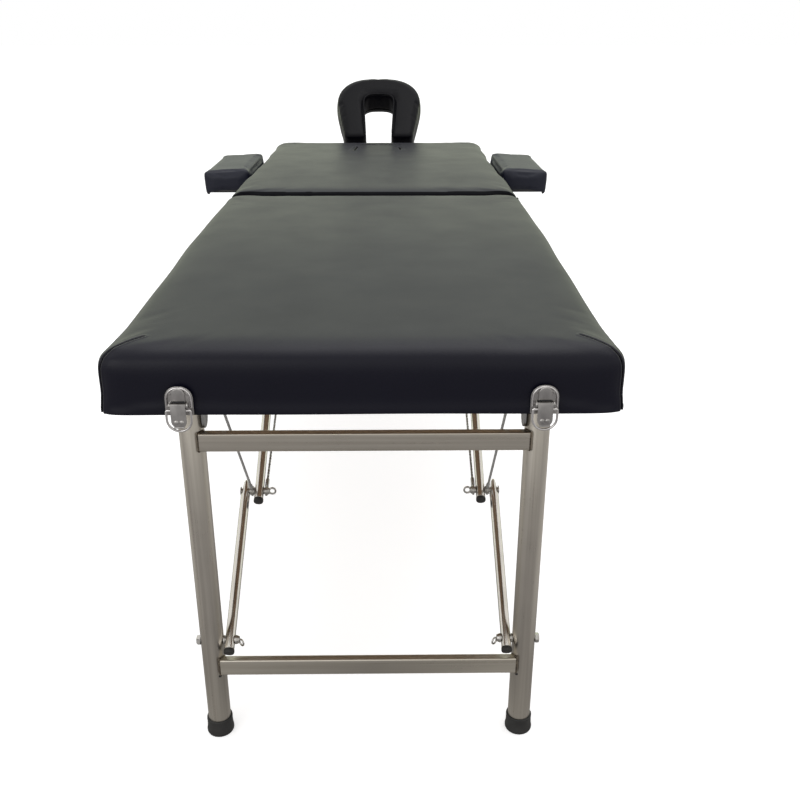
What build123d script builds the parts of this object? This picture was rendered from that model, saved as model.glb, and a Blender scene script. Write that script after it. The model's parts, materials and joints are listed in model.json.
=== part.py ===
from build123d import *
import os
from math import atan2, cos, degrees, pi, radians, sin, sqrt

os.makedirs("parts", exist_ok=True)

# Folding massage table, in millimetres, +Z up. The crease between its halves runs along X at y = 0 while
# the pieces are made. The near half lies on -Y, the far half with the headrest on +Y. At the end every
# piece is moved along Y, so that the origin is on the floor under the middle of the whole table.

# Table top
table_length = 1860.0
table_width = 600.0
table_height = 611.0
foam_depth = 51.0
deck_thickness = 6.0
rail_depth = 20.0
side_rail_width = 40.0
end_rail_width = 42.0
rail_joint_gap = 0.2
wrap_thickness = 8.0
crease_wrap_thickness = 3.0
frame_crease_corner = 3.0
crease_gap = 1.0
cover_inset = 3.0
side_draw_in = 3.0
foot_corner_radius = 30.0
head_corner_radius = 48.0
crease_corner_radius = 9.0
edge_round = 30.0
seat_clearance = 0.3
breather_radius = 8.0
breather_spacing = 420.0

# Leg frames
leg_inset = 82.0
leg_radius = 16.0
leg_wall = 1.5
leg_from_end = 70.0
pivot_below_deck = 20.0
leg_top_above_pivot = 5.0
foot_radius = 18.0
foot_sole_radius = 19.0
foot_height = 26.0
foot_floor = 8.0
bar_height = 25.0
bar_depth = 12.5
bar_wall = 1.5
bar_stand_out = 1.5
upper_bar_height = 472.5
lower_bar_height = 123.5

# Folding links
link_joint_height = 159.0
brace_lift = 6.0
link_radius = 7.0
link_wall = 1.2
lower_link_inset = 25.0
upper_link_inset = 46.0
link_tail = 14.0
link_head = 17.0
upper_link_top_tail = 8.0
plug_length = 6.0
plug_insert = 8.0
bolt_radius = 4.0
running_clearance = 0.05
bolt_head_radius = 7.0
bolt_head_depth = 5.5
nut_radius = 6.4
nut_depth = 5.5
wing_span = 26.0
wing_thickness = 2.5
wing_depth = 4.5
wing_turn = 20.0
ring_radius = 6.5
ring_hole_radius = 3.2
ring_thickness = 3.0
ring_neck = 4.0
ring_seat = 0.8
elbow_head_depth = 1.4
side_clearance = 0.4

# Brackets under the deck
bracket_wall = 3.0
leg_bracket_length = 36.0
leg_plate_outer_reach = 28.0
leg_plate_inner_reach = 32.0
ear_half_width = 13.0
inner_ear_drop = 47.0
outer_ear_drop = 13.0
brace_bracket_length = 40.0
brace_bracket_flange = 12.0
brace_ear_half_width = 10.0

# Bracing cables
cable_radius = 2.0
cable_inset = 35.5
elbow_spacer = 2.5
lug_thickness = 2.6
lug_radius = 8.0
ferrule_radius = 3.5
ferrule_length = 16.0
ferrule_start = 8.3

# Crease hinges
hinge_length = 84.0
hinge_leaf_width = 44.0
hinge_leaf_thickness = 3.0
hinge_leaf_setback = 8.0
knuckle_radius = 6.0
knuckle_drop = 7.0
far_knuckle_length = 28.0
knuckle_gap = 0.5
hinge_pin_radius = 3.0
pin_overhang = 2.0
cable_eye_thickness = 3.0
cable_eye_drop = 18.0
cable_eye_width = 16.0

# Draw latches
latch_inset = 6.0
latch_plate_width = 33.0
latch_plate_rise = 22.0
latch_plate_drop = 14.0
latch_plate_thickness = 2.0
latch_boss_width = 16.0
latch_boss_height = 17.0
latch_boss_depth = 2.5
latch_pivot_rise = 15.0
latch_pivot_standoff = 6.0
latch_pin_radius = 1.5
latch_barrel_radius = 3.0
latch_ear_thickness = 1.6
lever_width = 18.0
lever_length = 27.0
lever_thickness = 1.8
bail_pivot_drop = 5.5
bail_wire_radius = 1.4
bail_inner_width = 26.0
bail_length = 26.0
bail_corner_radius = 12.0
bail_end_bite = 3.0
catch_width = 30.0
catch_height = 26.0
catch_hook_depth = 7.0
catch_hook_height = 6.0

# Face cradle
cradle_tilt = 34.0
cradle_pivot_y = 985.0
cradle_rod_spacing = 180.0
cradle_rod_radius = 6.0
cradle_rod_engagement = 44.0
cross_rod_overhang = 24.0
socket_wall = 1.7
socket_flange_radius = 12.0
socket_flange_thickness = 2.0
platform_thickness = 9.0
platform_rise = 18.0
platform_start = 15.0
platform_inset = 10.0
face_cushion_thickness = 66.0
face_cushion_start = 10.0
face_cushion_length = 280.0
face_arm_end_half_width = 108.0
face_widest_half_width = 134.0
face_widest_at = 185.0
face_end_corner = 68.0
face_gap_half_width = 46.0
face_gap_length = 196.0
face_arm_tip_radius = 16.0
face_top_round = 26.0
cradle_ear_spacing = 136.0
cradle_ear_thickness = 5.0
cradle_ear_radius = 11.0
cradle_ear_reach = 46.0
knob_radius = 15.0
knob_depth = 16.0
knob_lobe_radius = 4.5
knob_seat = 0.8

# Arm pads
arm_pad_start = 297.0
arm_pad_length = 284.0
arm_pad_width = 102.0
arm_pad_gap = 3.5
arm_pad_rise = 5.0
arm_pad_depth = 39.0
arm_board_thickness = 6.0
arm_board_inset = 4.0
arm_rod_radius = 5.0
arm_rod_spacing = 180.0
arm_rod_engagement = 40.0
arm_rod_reach = 47.0
arm_cleat_width = 26.0
arm_cleat_setback = 8.0
arm_cleat_length = 44.0
arm_socket_flange_radius = 11.0
arm_pad_corner = 12.0
arm_pad_round = 9.0

overrun = 5.0

# Round parts are drawn with flats: nuts and bolt heads, shanks and their bores, bars and links, legs,
# and the corners and arm tips of the headrest
nut_flat_count = 6
shank_flat_count = 8
bar_flat_count = 12
tube_flat_count = 20
corner_flat_count = 4
tip_flat_count = 2

# Shares of the foam's depth and of the edge's rounding at which the cushion's outlines lie
cushion_rise_shares = (0.0, 0.3, 0.7, 0.92, 1.0)
cushion_inset_shares = (0.1, 0.0, 0.15, 0.65, 2.4)
crease_inset_share = 0.3
face_rise_shares = (0.0, 0.14, 0.7, 1.0)
face_inset_shares = (0.22, 0.0, 0.1, 0.9)
arm_pad_rise_shares = (0.0, 0.3, 0.85, 1.0)
arm_pad_inset_shares = (0.35, 0.0, 0.25, 1.5)
ear_web_share = 0.5
corner_share = 1 - sqrt(0.5)
arm_swell_share = 0.75
arm_tip_share = 0.42
lower_link_share = 0.64

# Worked out from the sizes above
half_length = table_length / 2
half_width = table_width / 2
rail_top = table_height - foam_depth - deck_thickness
rail_bottom = rail_top - rail_depth
deck_top = rail_top + deck_thickness
frame_half_width = half_width - wrap_thickness
frame_reach = half_length - wrap_thickness
frame_start = crease_gap / 2 + crease_wrap_thickness
leg_x = half_width - leg_inset
lower_link_x = leg_x - lower_link_inset
upper_link_x = leg_x - upper_link_inset
cable_x = leg_x - cable_inset
crease_cable_x = upper_link_x - link_radius - elbow_spacer - lug_thickness / 2
latch_x = leg_x - latch_inset
pivot_height = rail_top - pivot_below_deck
rod_height = rail_bottom + rail_depth / 2
leg_y = half_length - leg_from_end
bar_y = leg_y + leg_radius - bar_depth / 2 + bar_stand_out
ear_x = leg_x - leg_radius - side_clearance - bracket_wall / 2
outer_ear_x = leg_x + leg_radius + side_clearance + bracket_wall / 2

# The links lie in one line when the legs stand. With the legs folded, the lower link lies level beside
# its leg, and the upper link comes down to it from its pivot, brace_lift above. That gives the place of
# the upper link's pivot, and its length.
link_drop = pivot_height - link_joint_height
lower_link_length = link_drop * lower_link_share
fold_reach = lower_link_length + sqrt(lower_link_length**2 - brace_lift**2) - link_drop
brace_run = ((link_drop + brace_lift) ** 2 - fold_reach**2) / (2 * fold_reach)
upper_link_length = brace_run + fold_reach - lower_link_length
link_slope = atan2(link_drop + brace_lift, brace_run)
elbow_y = leg_y - lower_link_length * cos(link_slope)
elbow_height = link_joint_height + lower_link_length * sin(link_slope)
brace_y = leg_y - brace_run
brace_height = pivot_height + brace_lift
lower_link_fold = 90 - degrees(link_slope)
upper_link_fold = degrees(link_slope) - degrees(atan2(brace_lift, upper_link_length))

crease_axis_height = rail_bottom - knuckle_drop
cable_anchor_y = frame_start + hinge_leaf_width
cable_anchor_height = rail_bottom - hinge_leaf_thickness - cable_eye_drop + cable_eye_width / 2
end_face = half_length
latch_pivot_height = rail_bottom + latch_pivot_rise
latch_plate_top = latch_pivot_height + latch_plate_rise
latch_plate_bottom = latch_pivot_height - latch_plate_drop
latch_pivot_y = end_face + seat_clearance + latch_plate_thickness + latch_pivot_standoff
arm_socket_radius = arm_rod_radius + socket_wall
cradle_socket_radius = cradle_rod_radius + socket_wall
arm_pad_x = half_width + arm_pad_gap
arm_pad_top = table_height + arm_pad_rise
arm_pad_bottom = arm_pad_top - arm_pad_depth
cradle_rod_x = cradle_rod_spacing / 2

ends = {"near": -1, "far": 1}
sides = {"left": -1, "right": 1}
both = (-1, 1)
pieces = {}


def keep(piece, label):
    piece.part.label = label
    pieces[label] = piece.part


def draw_outline(end, half_wide, start, reach, start_corner, end_corner, draw_in):
    """A top view of one half, on the open sketch: two long sides, two ends and four round corners."""
    with BuildLine() as edge:
        for side in both:
            low = (side * half_wide, end * (start + start_corner))
            high = (side * half_wide, end * (reach - end_corner))
            if draw_in > 0:
                ThreePointArc(low, (side * (half_wide - draw_in), end * (start + reach) / 2), high)
            else:
                Line(low, high)
            middle = end_corner * corner_share
            corner_end = (side * (half_wide - end_corner), end * reach)
            ThreePointArc(high, (side * (half_wide - middle), end * (reach - middle)), corner_end)
            middle = start_corner * corner_share
            corner_end = (side * (half_wide - start_corner), end * start)
            ThreePointArc(low, (side * (half_wide - middle), end * (start + middle)), corner_end)
        for level, corner in ((reach, end_corner), (start, start_corner)):
            Line((corner - half_wide, end * level), (half_wide - corner, end * level))
    make_face(edge.edges())


def rod(x_from, x_to, y, z, radius, mode=Mode.ADD, flats=shank_flat_count):
    """A bar along X in the open part, with few flats where it is small or hidden."""
    with BuildSketch(Plane.YZ.offset(min(x_from, x_to))) as section:
        with Locations((y, z)):
            RegularPolygon(radius, flats)
    extrude(section.sketch, amount=abs(x_to - x_from), mode=mode)


def bend(center_x, center_y, radius, from_turn, to_turn, flats):
    """The points of a bend, from one direction to another about its centre."""
    turns = [radians(from_turn + (to_turn - from_turn) * step / flats) for step in range(flats + 1)]
    return [(center_x + radius * cos(turn), center_y + radius * sin(turn)) for turn in turns]


def draw_pin(y, z, radius, flats=shank_flat_count):
    """A pin's section on the open sketch: flats, and a round side where it bears."""
    step = 360 / flats
    points = bend(y, z, radius, step, 360, flats - 1)
    middle = bend(y, z, radius, 0, step, 2)[1]
    with BuildLine() as edge:
        Polyline(*points)
        ThreePointArc(points[-1], middle, points[0])
    make_face(edge.edges())


def pin(x_from, x_to, y, z, radius, flats=shank_flat_count):
    """A bar along X that something turns on."""
    with BuildSketch(Plane.YZ.offset(min(x_from, x_to))) as section:
        draw_pin(y, z, radius, flats)
    extrude(section.sketch, amount=abs(x_to - x_from))


def rod_y(x, y_from, y_to, z, radius, mode=Mode.ADD, flats=bar_flat_count):
    """A bar along Y in the open part."""
    with BuildSketch(Plane.XZ.offset(-min(y_from, y_to))) as section:
        with Locations((x, z)):
            RegularPolygon(radius, flats)
    extrude(section.sketch, amount=-abs(y_to - y_from), mode=mode)


def around(radius, flats=shank_flat_count):
    """The size of a bore with flats in which a bar of this radius turns or slides freely."""
    return (radius + running_clearance) / cos(pi / flats)


def end_corner_of(end):
    return foot_corner_radius if end < 0 else head_corner_radius


# Cushions: crowned blocks whose long sides draw in between the corners
def make_cushion(end):
    with BuildPart() as cushion:
        for rise, inset in zip(cushion_rise_shares, cushion_inset_shares):
            step = inset * edge_round
            corner = end_corner_of(end)
            with BuildSketch(Plane.XY.offset(deck_top + rise * foam_depth)):
                draw_outline(
                    end,
                    half_width - step,
                    crease_gap / 2 + step * crease_inset_share,
                    half_length - step,
                    crease_corner_radius,
                    max(corner - step * crease_inset_share, crease_corner_radius),
                    side_draw_in,
                )
        loft(ruled=True)
    return cushion


def draw_frame(end):
    """The deck's outline, which the rails share."""
    draw_outline(
        end,
        frame_half_width,
        frame_start,
        frame_reach,
        frame_crease_corner,
        end_corner_of(end) - wrap_thickness,
        0.0,
    )


# The cover's border that wraps the rails under each cushion
def make_border(end):
    with BuildPart() as border:
        with BuildSketch(Plane.XY.offset(rail_bottom)):
            draw_outline(
                end,
                half_width - cover_inset,
                crease_gap / 2 + cover_inset * crease_inset_share,
                end_face,
                crease_corner_radius,
                end_corner_of(end),
                0.0,
            )
        extrude(amount=deck_top - rail_bottom)
        with BuildSketch(Plane.XY.offset(rail_bottom)):
            draw_frame(end)
        extrude(amount=deck_top - rail_bottom, mode=Mode.SUBTRACT)
        if end > 0:
            for side in both:
                for place in both:
                    rod(
                        side * (frame_half_width - overrun), side * (half_width + overrun),
                        arm_rod_y(place), rod_height, arm_socket_radius, Mode.SUBTRACT,
                    )
                rod_y(
                    side * cradle_rod_x, frame_reach - overrun, half_length + overrun, rod_height,
                    cradle_socket_radius, Mode.SUBTRACT,
                )
    return border


def arm_rod_y(place):
    return arm_pad_start + arm_pad_length / 2 + place * arm_rod_spacing / 2


# Rails: two end rails with the side rails butted between them
def make_rails(end):
    with BuildPart() as rails:
        with BuildSketch(Plane.XY.offset(rail_bottom)):
            draw_frame(end)
        extrude(amount=rail_depth)
        inner_start = frame_start + end_rail_width
        inner_reach = frame_reach - end_rail_width
        with Locations((0, end * (inner_start + inner_reach) / 2, rail_bottom + rail_depth / 2)):
            Box(
                2 * (frame_half_width - side_rail_width),
                inner_reach - inner_start,
                rail_depth + overrun,
                mode=Mode.SUBTRACT,
            )
        for level in (inner_start, inner_reach):
            with Locations((0, end * level, rail_bottom + rail_depth / 2)):
                Box(table_width, rail_joint_gap, rail_depth + overrun, mode=Mode.SUBTRACT)
        if end > 0:
            for side in both:
                for place in (-1, 1):
                    rod(
                        side * (frame_half_width - side_rail_width - overrun),
                        side * half_width, arm_rod_y(place), rod_height,
                        arm_socket_radius, Mode.SUBTRACT,
                    )
                rod_y(
                    side * cradle_rod_x, inner_reach - overrun, half_length, rod_height,
                    cradle_socket_radius, Mode.SUBTRACT,
                )
    return rails


# Deck: the plywood board that the foam lies on, with two breather holes
def make_deck(end):
    with BuildPart() as deck:
        with BuildSketch(Plane.XY.offset(rail_top)):
            draw_frame(end)
            with Locations((0, end * half_length / 2)):
                with GridLocations(0, breather_spacing, 1, 2):
                    RegularPolygon(breather_radius, shank_flat_count, mode=Mode.SUBTRACT)
        extrude(amount=deck_thickness)
    return deck


def draw_ear(y, top, low, half_wide):
    """A hanging ear on the open sketch, round at its lower end."""
    with Locations((y, low + half_wide)):
        RegularPolygon(half_wide, bar_flat_count)
    with Locations((y, (top + low + half_wide) / 2)):
        Rectangle(2 * half_wide, top - low - half_wide)


# Leg brackets: a plate on the deck with two ears that hold the leg's pivot bolt
def make_leg_brackets(end):
    plate_width = leg_plate_outer_reach + leg_plate_inner_reach
    with BuildPart() as brackets:
        for side in both:
            with BuildSketch(Plane.XY.offset(rail_top)):
                with Locations((side * (leg_x + leg_plate_outer_reach - plate_width / 2), end * leg_y)):
                    Rectangle(plate_width, leg_bracket_length)
            extrude(amount=-bracket_wall)
            for x, drop in ((ear_x, inner_ear_drop), (outer_ear_x, outer_ear_drop)):
                with BuildSketch(Plane.YZ.offset(side * x - bracket_wall / 2)):
                    draw_ear(end * leg_y, rail_top - bracket_wall, pivot_height - drop, ear_half_width)
                extrude(amount=bracket_wall)
            rod(
                side * (ear_x - bracket_wall), side * (outer_ear_x + bracket_wall),
                end * leg_y, pivot_height, around(bolt_radius), Mode.SUBTRACT,
            )
    return brackets


# Pivot bolts: head outside the leg bracket, two nuts inside it with the cable's lug between them
def make_pivot_bolts(end):
    outer = outer_ear_x + bracket_wall / 2
    inner = ear_x - bracket_wall / 2
    lug_inner = cable_x - lug_thickness / 2
    lug_outer = cable_x + lug_thickness / 2
    with BuildPart() as bolts:
        for side in both:
            place = (end * leg_y, pivot_height)
            bolt_end = lug_inner - nut_depth
            head_end = outer + bolt_head_depth
            rod(side * outer, side * head_end, *place, bolt_head_radius, flats=nut_flat_count)
            pin(side * bolt_end, side * outer, *place, bolt_radius)
            rod(side * inner, side * (inner - nut_depth), *place, nut_radius, flats=nut_flat_count)
            rod(side * lug_inner, side * bolt_end, *place, nut_radius, flats=nut_flat_count)
            rod(side * lug_inner, side * lug_outer, *place, lug_radius, flats=bar_flat_count)
    return bolts


# Brace brackets: a plate on the deck with two ears and a riveted pin for the upper link
def make_brace_brackets(end):
    near_ear = upper_link_x - link_radius - side_clearance - bracket_wall / 2
    far_ear = upper_link_x + link_radius + side_clearance + bracket_wall / 2
    plate_width = far_ear - near_ear + bracket_wall + 2 * brace_bracket_flange
    with BuildPart() as brackets:
        for side in both:
            with BuildSketch(Plane.XY.offset(rail_top)):
                with Locations((side * upper_link_x, end * brace_y)):
                    Rectangle(plate_width, brace_bracket_length)
            extrude(amount=-bracket_wall)
            for x in (near_ear, far_ear):
                with BuildSketch(Plane.YZ.offset(side * x - bracket_wall / 2)):
                    low = brace_height - brace_ear_half_width
                    draw_ear(end * brace_y, rail_top - bracket_wall, low, brace_ear_half_width)
                extrude(amount=bracket_wall)
            # The riveted pin
            place = (end * brace_y, brace_height)
            inner = near_ear - bracket_wall / 2
            outer = far_ear + bracket_wall / 2
            pin(side * inner, side * outer, *place, bolt_radius)
            rod(side * inner, side * (inner - pin_overhang), *place, nut_radius)
            rod(side * outer, side * (outer + pin_overhang), *place, nut_radius)
    return brackets


# Legs: two round tubes, drilled for the pivot bolt above and the link bolt below
def make_legs(end):
    low = foot_floor
    high = pivot_height + leg_top_above_pivot
    with BuildPart() as legs:
        with BuildSketch(Plane.XY.offset(low)):
            with Locations(*[(side * leg_x, end * leg_y) for side in both]):
                RegularPolygon(leg_radius, tube_flat_count)
                RegularPolygon(leg_radius - leg_wall, tube_flat_count, mode=Mode.SUBTRACT)
        extrude(amount=high - low)
        hole_reach = leg_x + leg_radius + overrun
        rod(-hole_reach, hole_reach, end * leg_y, pivot_height, around(bolt_radius), Mode.SUBTRACT)
        rod(-hole_reach, hole_reach, end * leg_y, link_joint_height, around(bolt_radius), Mode.SUBTRACT)
    return legs


# Crossbars: flat tubes whose ends are cut to the legs' curve
def make_crossbars(end):
    with BuildPart() as bars:
        for height in (upper_bar_height, lower_bar_height):
            with Locations((0, end * bar_y, height)):
                Box(2 * leg_x, bar_depth, bar_height)
                Box(
                    2 * leg_x + overrun, bar_depth - 2 * bar_wall, bar_height - 2 * bar_wall,
                    mode=Mode.SUBTRACT,
                )
            with BuildSketch(Plane.XY.offset(height - bar_height)):
                with Locations(*[(side * leg_x, end * leg_y) for side in both]):
                    RegularPolygon(leg_radius, tube_flat_count)
            extrude(amount=2 * bar_height, mode=Mode.SUBTRACT)
    return bars


# Feet: rubber caps, a little wider at the floor
def make_feet(end):
    places = [(side * leg_x, end * leg_y) for side in both]
    with BuildPart() as feet:
        for place in places:
            for level, radius in ((0, foot_sole_radius), (foot_height, foot_radius)):
                with BuildSketch(Plane.XY.offset(level)):
                    with Locations(place):
                        RegularPolygon(radius, tube_flat_count)
            loft(ruled=True)
        with BuildSketch(Plane.XY.offset(foot_floor)):
            with Locations(*places):
                RegularPolygon(leg_radius, tube_flat_count)
        extrude(amount=foot_height, mode=Mode.SUBTRACT)
    return feet


# Link bolts: through the legs, with a washer, the lower link and a wing nut on the inner side
def make_link_bolts(end):
    outer = leg_x + leg_radius
    inner = leg_x - leg_radius
    nut_outer = lower_link_x - link_radius - side_clearance
    washer_inner = lower_link_x + link_radius + side_clearance
    with BuildPart() as bolts:
        for side in both:
            place = (end * leg_y, link_joint_height)
            nut_inner = nut_outer - nut_depth
            head_end = outer + bolt_head_depth
            rod(side * outer, side * head_end, *place, bolt_head_radius, flats=nut_flat_count)
            pin(side * nut_inner, side * outer, *place, bolt_radius)
            rod(side * nut_outer, side * nut_inner, *place, nut_radius, flats=nut_flat_count)
            with Locations((side * (nut_outer - wing_depth / 2), *place)):
                Box(wing_depth, wing_span, wing_thickness, rotation=(wing_turn, 0, 0))
            rod(side * washer_inner, side * inner, *place, nut_radius)
    return bolts


def link_plane(end, x, y, z):
    """Looks up along the link's line from a point on it, towards the crease."""
    direction = (0, -end * cos(link_slope), sin(link_slope))
    return Plane(origin=(x, end * y, z), x_dir=(1, 0, 0), z_dir=direction)


def make_tubes(end, x, y, z, before, length, after):
    """One link on each side: a tube from before its first hole to after its second."""
    with BuildPart() as tubes:
        for side in both:
            plane = link_plane(end, side * x, y, z)
            with BuildSketch(plane.offset(-before)):
                RegularPolygon(link_radius, bar_flat_count)
                RegularPolygon(link_radius - link_wall, bar_flat_count, mode=Mode.SUBTRACT)
            extrude(amount=before + length + after)
    return tubes


# Lower links: from the legs to the elbows
def make_lower_links(end):
    tubes = make_tubes(end, lower_link_x, leg_y, link_joint_height, link_tail, lower_link_length, link_head)
    with BuildPart() as links:
        add(tubes.part)
        for side in both:
            # The upper end is pressed shut.
            plane = link_plane(end, side * lower_link_x, leg_y, link_joint_height)
            with BuildSketch(plane.offset(lower_link_length + link_head - link_wall)):
                RegularPolygon(link_radius - link_wall, bar_flat_count)
            extrude(amount=link_wall)
        reach = lower_link_x + link_radius + overrun
        rod(-reach, reach, end * leg_y, link_joint_height, around(bolt_radius), Mode.SUBTRACT)
        rod(-reach, reach, end * elbow_y, elbow_height, bolt_radius, Mode.SUBTRACT)
    return links


# Upper links: from the elbows to the brackets under the deck
def make_upper_links(end):
    tubes = make_tubes(
        end, upper_link_x, elbow_y, elbow_height, link_tail, upper_link_length, upper_link_top_tail
    )
    with BuildPart() as links:
        add(tubes.part)
        reach = upper_link_x + link_radius + overrun
        rod(-reach, reach, end * elbow_y, elbow_height, bolt_radius, Mode.SUBTRACT)
        rod(-reach, reach, end * brace_y, brace_height, around(bolt_radius), Mode.SUBTRACT)
    return links


# Plugs: black caps with a stem in the lower end of each link
def make_plugs(end, x, y, z):
    with BuildPart() as plugs:
        for side in both:
            plane = link_plane(end, side * x, y, z).offset(-link_tail)
            with BuildSketch(plane):
                RegularPolygon(link_radius, bar_flat_count)
            extrude(amount=-plug_length)
            with BuildSketch(plane):
                RegularPolygon(link_radius - link_wall, bar_flat_count)
            extrude(amount=plug_insert)
    return plugs


# Elbow bolts: head, shank through the lower link, the cables' lug and a washer beside the upper link
def make_elbow_bolts(end):
    outer = lower_link_x + link_radius
    inner = upper_link_x + link_radius + seat_clearance
    with BuildPart() as bolts:
        for side in both:
            place = (end * elbow_y, elbow_height)
            head_end = outer + elbow_head_depth
            rod(side * outer, side * head_end, *place, bolt_head_radius, flats=nut_flat_count)
            rod(side * inner, side * outer, *place, bolt_radius)
            lug_inner = cable_x - lug_thickness / 2
            lug_outer = cable_x + lug_thickness / 2
            rod(side * lug_inner, side * lug_outer, *place, lug_radius, flats=bar_flat_count)
            rod(side * inner, side * lug_inner, *place, bolt_radius + link_wall)
            rod(side * lug_outer, side * (lower_link_x - link_radius), *place, bolt_radius + link_wall)
    return bolts


# Ring nuts: on the inner side of the elbow, with a stub in the upper link, a spacer and a cable's lug
def make_ring_nuts(end):
    outer = upper_link_x + link_radius
    inner = upper_link_x - link_radius
    with BuildPart() as nuts:
        for side in both:
            place = (end * elbow_y, elbow_height)
            rod(side * outer, side * inner, *place, bolt_radius)
            lug_outer = crease_cable_x + lug_thickness / 2
            lug_inner = crease_cable_x - lug_thickness / 2
            rod(side * inner, side * lug_outer, *place, bolt_radius + link_wall)
            rod(side * lug_outer, side * lug_inner, *place, lug_radius, flats=bar_flat_count)
            neck_end = lug_inner - ring_neck
            rod(side * lug_inner, side * neck_end, *place, nut_radius, flats=nut_flat_count)
            ring_x = neck_end - ring_hole_radius - ring_seat
            with BuildSketch(Plane.XZ.offset(-end * elbow_y - ring_thickness / 2)):
                with Locations((side * ring_x, elbow_height)):
                    RegularPolygon(ring_radius, bar_flat_count)
                    RegularPolygon(ring_hole_radius, shank_flat_count, mode=Mode.SUBTRACT)
            extrude(amount=ring_thickness)
    return nuts


def make_cables(x, start, finish):
    """A taut cable on each side between two points of the YZ plane, with a ferrule at each end."""
    direction = Vector(0, finish[0] - start[0], finish[1] - start[1])
    length = direction.length
    with BuildPart() as cables:
        for side in both:
            origin = (side * x, start[0], start[1])
            plane = Plane(origin=origin, x_dir=(1, 0, 0), z_dir=direction.normalized())
            with BuildSketch(plane.offset(ferrule_start)):
                RegularPolygon(cable_radius, shank_flat_count)
            extrude(amount=length - 2 * ferrule_start)
            for level in (ferrule_start, length - ferrule_start - ferrule_length):
                with BuildSketch(plane.offset(level)):
                    RegularPolygon(ferrule_radius, nut_flat_count)
                extrude(amount=ferrule_length)
    return cables


# Crease hinges: a leaf under each crease rail, with a cable eye at its rear edge. The pin is fixed in the
# near leaf's two knuckles.
def make_hinge_leaves(end):
    knuckle_length = (hinge_length - far_knuckle_length) / 2 - knuckle_gap
    leaf_bottom = rail_bottom - hinge_leaf_thickness
    if end > 0:
        knuckles = [(0, far_knuckle_length)]
    else:
        offset = (hinge_length - knuckle_length) / 2
        knuckles = [(-offset, knuckle_length), (offset, knuckle_length)]
    with BuildPart() as leaves:
        for side in both:
            hinge_x = side * cable_x
            leaf_y = hinge_leaf_setback + hinge_leaf_width / 2
            with Locations((hinge_x, end * leaf_y, leaf_bottom + hinge_leaf_thickness / 2)):
                Box(hinge_length, hinge_leaf_width, hinge_leaf_thickness)
            for offset, length in knuckles:
                x_from = hinge_x + offset - length / 2
                rod(x_from, x_from + length, 0, crease_axis_height, knuckle_radius)
                reach = hinge_leaf_setback + overrun
                with Locations((hinge_x + offset, end * reach / 2, leaf_bottom + hinge_leaf_thickness / 2)):
                    Box(length, reach, hinge_leaf_thickness)
            eye_top = leaf_bottom
            with BuildSketch(Plane.YZ.offset(side * crease_cable_x - cable_eye_thickness / 2)):
                draw_ear(
                    end * cable_anchor_y, eye_top, eye_top - cable_eye_drop, cable_eye_width / 2
                )
            extrude(amount=cable_eye_thickness)
        for side in both:
            hinge_x = side * cable_x
            half = hinge_length / 2
            pin_from = hinge_x - half - pin_overhang
            pin_to = hinge_x + half + pin_overhang
            if end > 0:
                bore = around(hinge_pin_radius)
                rod(pin_from, pin_to, 0, crease_axis_height, bore, Mode.SUBTRACT)
            else:
                pin(pin_from, pin_to, 0, crease_axis_height, hinge_pin_radius)
    return leaves


# Draw latches on the near end face: a plate with a pressed boss, two ears and a riveted pin
def make_latch_bases():
    back = end_face + seat_clearance
    front = back + latch_plate_thickness
    radius = latch_plate_width / 2
    with BuildPart() as bases:
        for side in both:
            x = side * latch_x
            with BuildSketch(Plane.XZ.offset(back)):
                with Locations((x, latch_plate_top - radius)):
                    RegularPolygon(radius, bar_flat_count)
                with Locations((x, (latch_plate_top - radius + latch_plate_bottom) / 2)):
                    Rectangle(latch_plate_width, latch_plate_top - radius - latch_plate_bottom)
            extrude(amount=latch_plate_thickness)
            # The pressed boss above the lever
            boss_half = latch_boss_width / 2
            boss_top = latch_plate_top - latch_barrel_radius
            with BuildSketch(Plane.XZ.offset(front)):
                with Locations((x, boss_top - boss_half)):
                    RegularPolygon(boss_half, bar_flat_count)
                with Locations((x, boss_top - (boss_half + latch_boss_height) / 2)):
                    Rectangle(latch_boss_width, latch_boss_height - boss_half)
            extrude(amount=latch_boss_depth)
            ear_offset = lever_width / 2 + side_clearance + latch_ear_thickness / 2
            for reach in both:
                ear_center = x + reach * ear_offset
                with BuildSketch(Plane.YZ.offset(ear_center - latch_ear_thickness / 2)):
                    with Locations((-latch_pivot_y, latch_pivot_height)):
                        RegularPolygon(latch_barrel_radius, shank_flat_count)
                    with Locations((-(latch_pivot_y + front) / 2, latch_pivot_height)):
                        Rectangle(latch_pivot_y - front, 2 * latch_barrel_radius)
                extrude(amount=latch_ear_thickness)
            half = ear_offset + latch_ear_thickness / 2
            pin(x - half, x + half, -latch_pivot_y, latch_pivot_height, latch_pin_radius)
    return bases


def make_latch_lever(side):
    x = side * latch_x
    half = lever_width / 2
    plate_y = latch_pivot_y + latch_barrel_radius - lever_thickness / 2
    bail_height = latch_pivot_height - bail_pivot_drop
    with BuildPart() as lever:
        rod(x - half, x + half, -latch_pivot_y, latch_pivot_height, latch_barrel_radius)
        with BuildSketch(Plane.XZ.offset(plate_y - lever_thickness / 2)):
            with Locations((x, latch_pivot_height - lever_length + half)):
                RegularPolygon(half, bar_flat_count)
            with Locations((x, latch_pivot_height - (lever_length - half) / 2)):
                Rectangle(lever_width, lever_length - half)
        extrude(amount=lever_thickness)
        # The block that carries the bail
        with Locations((x, -latch_pivot_y, bail_height)):
            Box(lever_width, 2 * latch_barrel_radius, bail_pivot_drop)
        rod(
            x - half, x + half, -latch_pivot_y, latch_pivot_height,
            around(latch_pin_radius), Mode.SUBTRACT,
        )
        rod(
            x - half - overrun, x + half + overrun, -latch_pivot_y, bail_height,
            around(bail_wire_radius), Mode.SUBTRACT,
        )
    return lever


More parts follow.
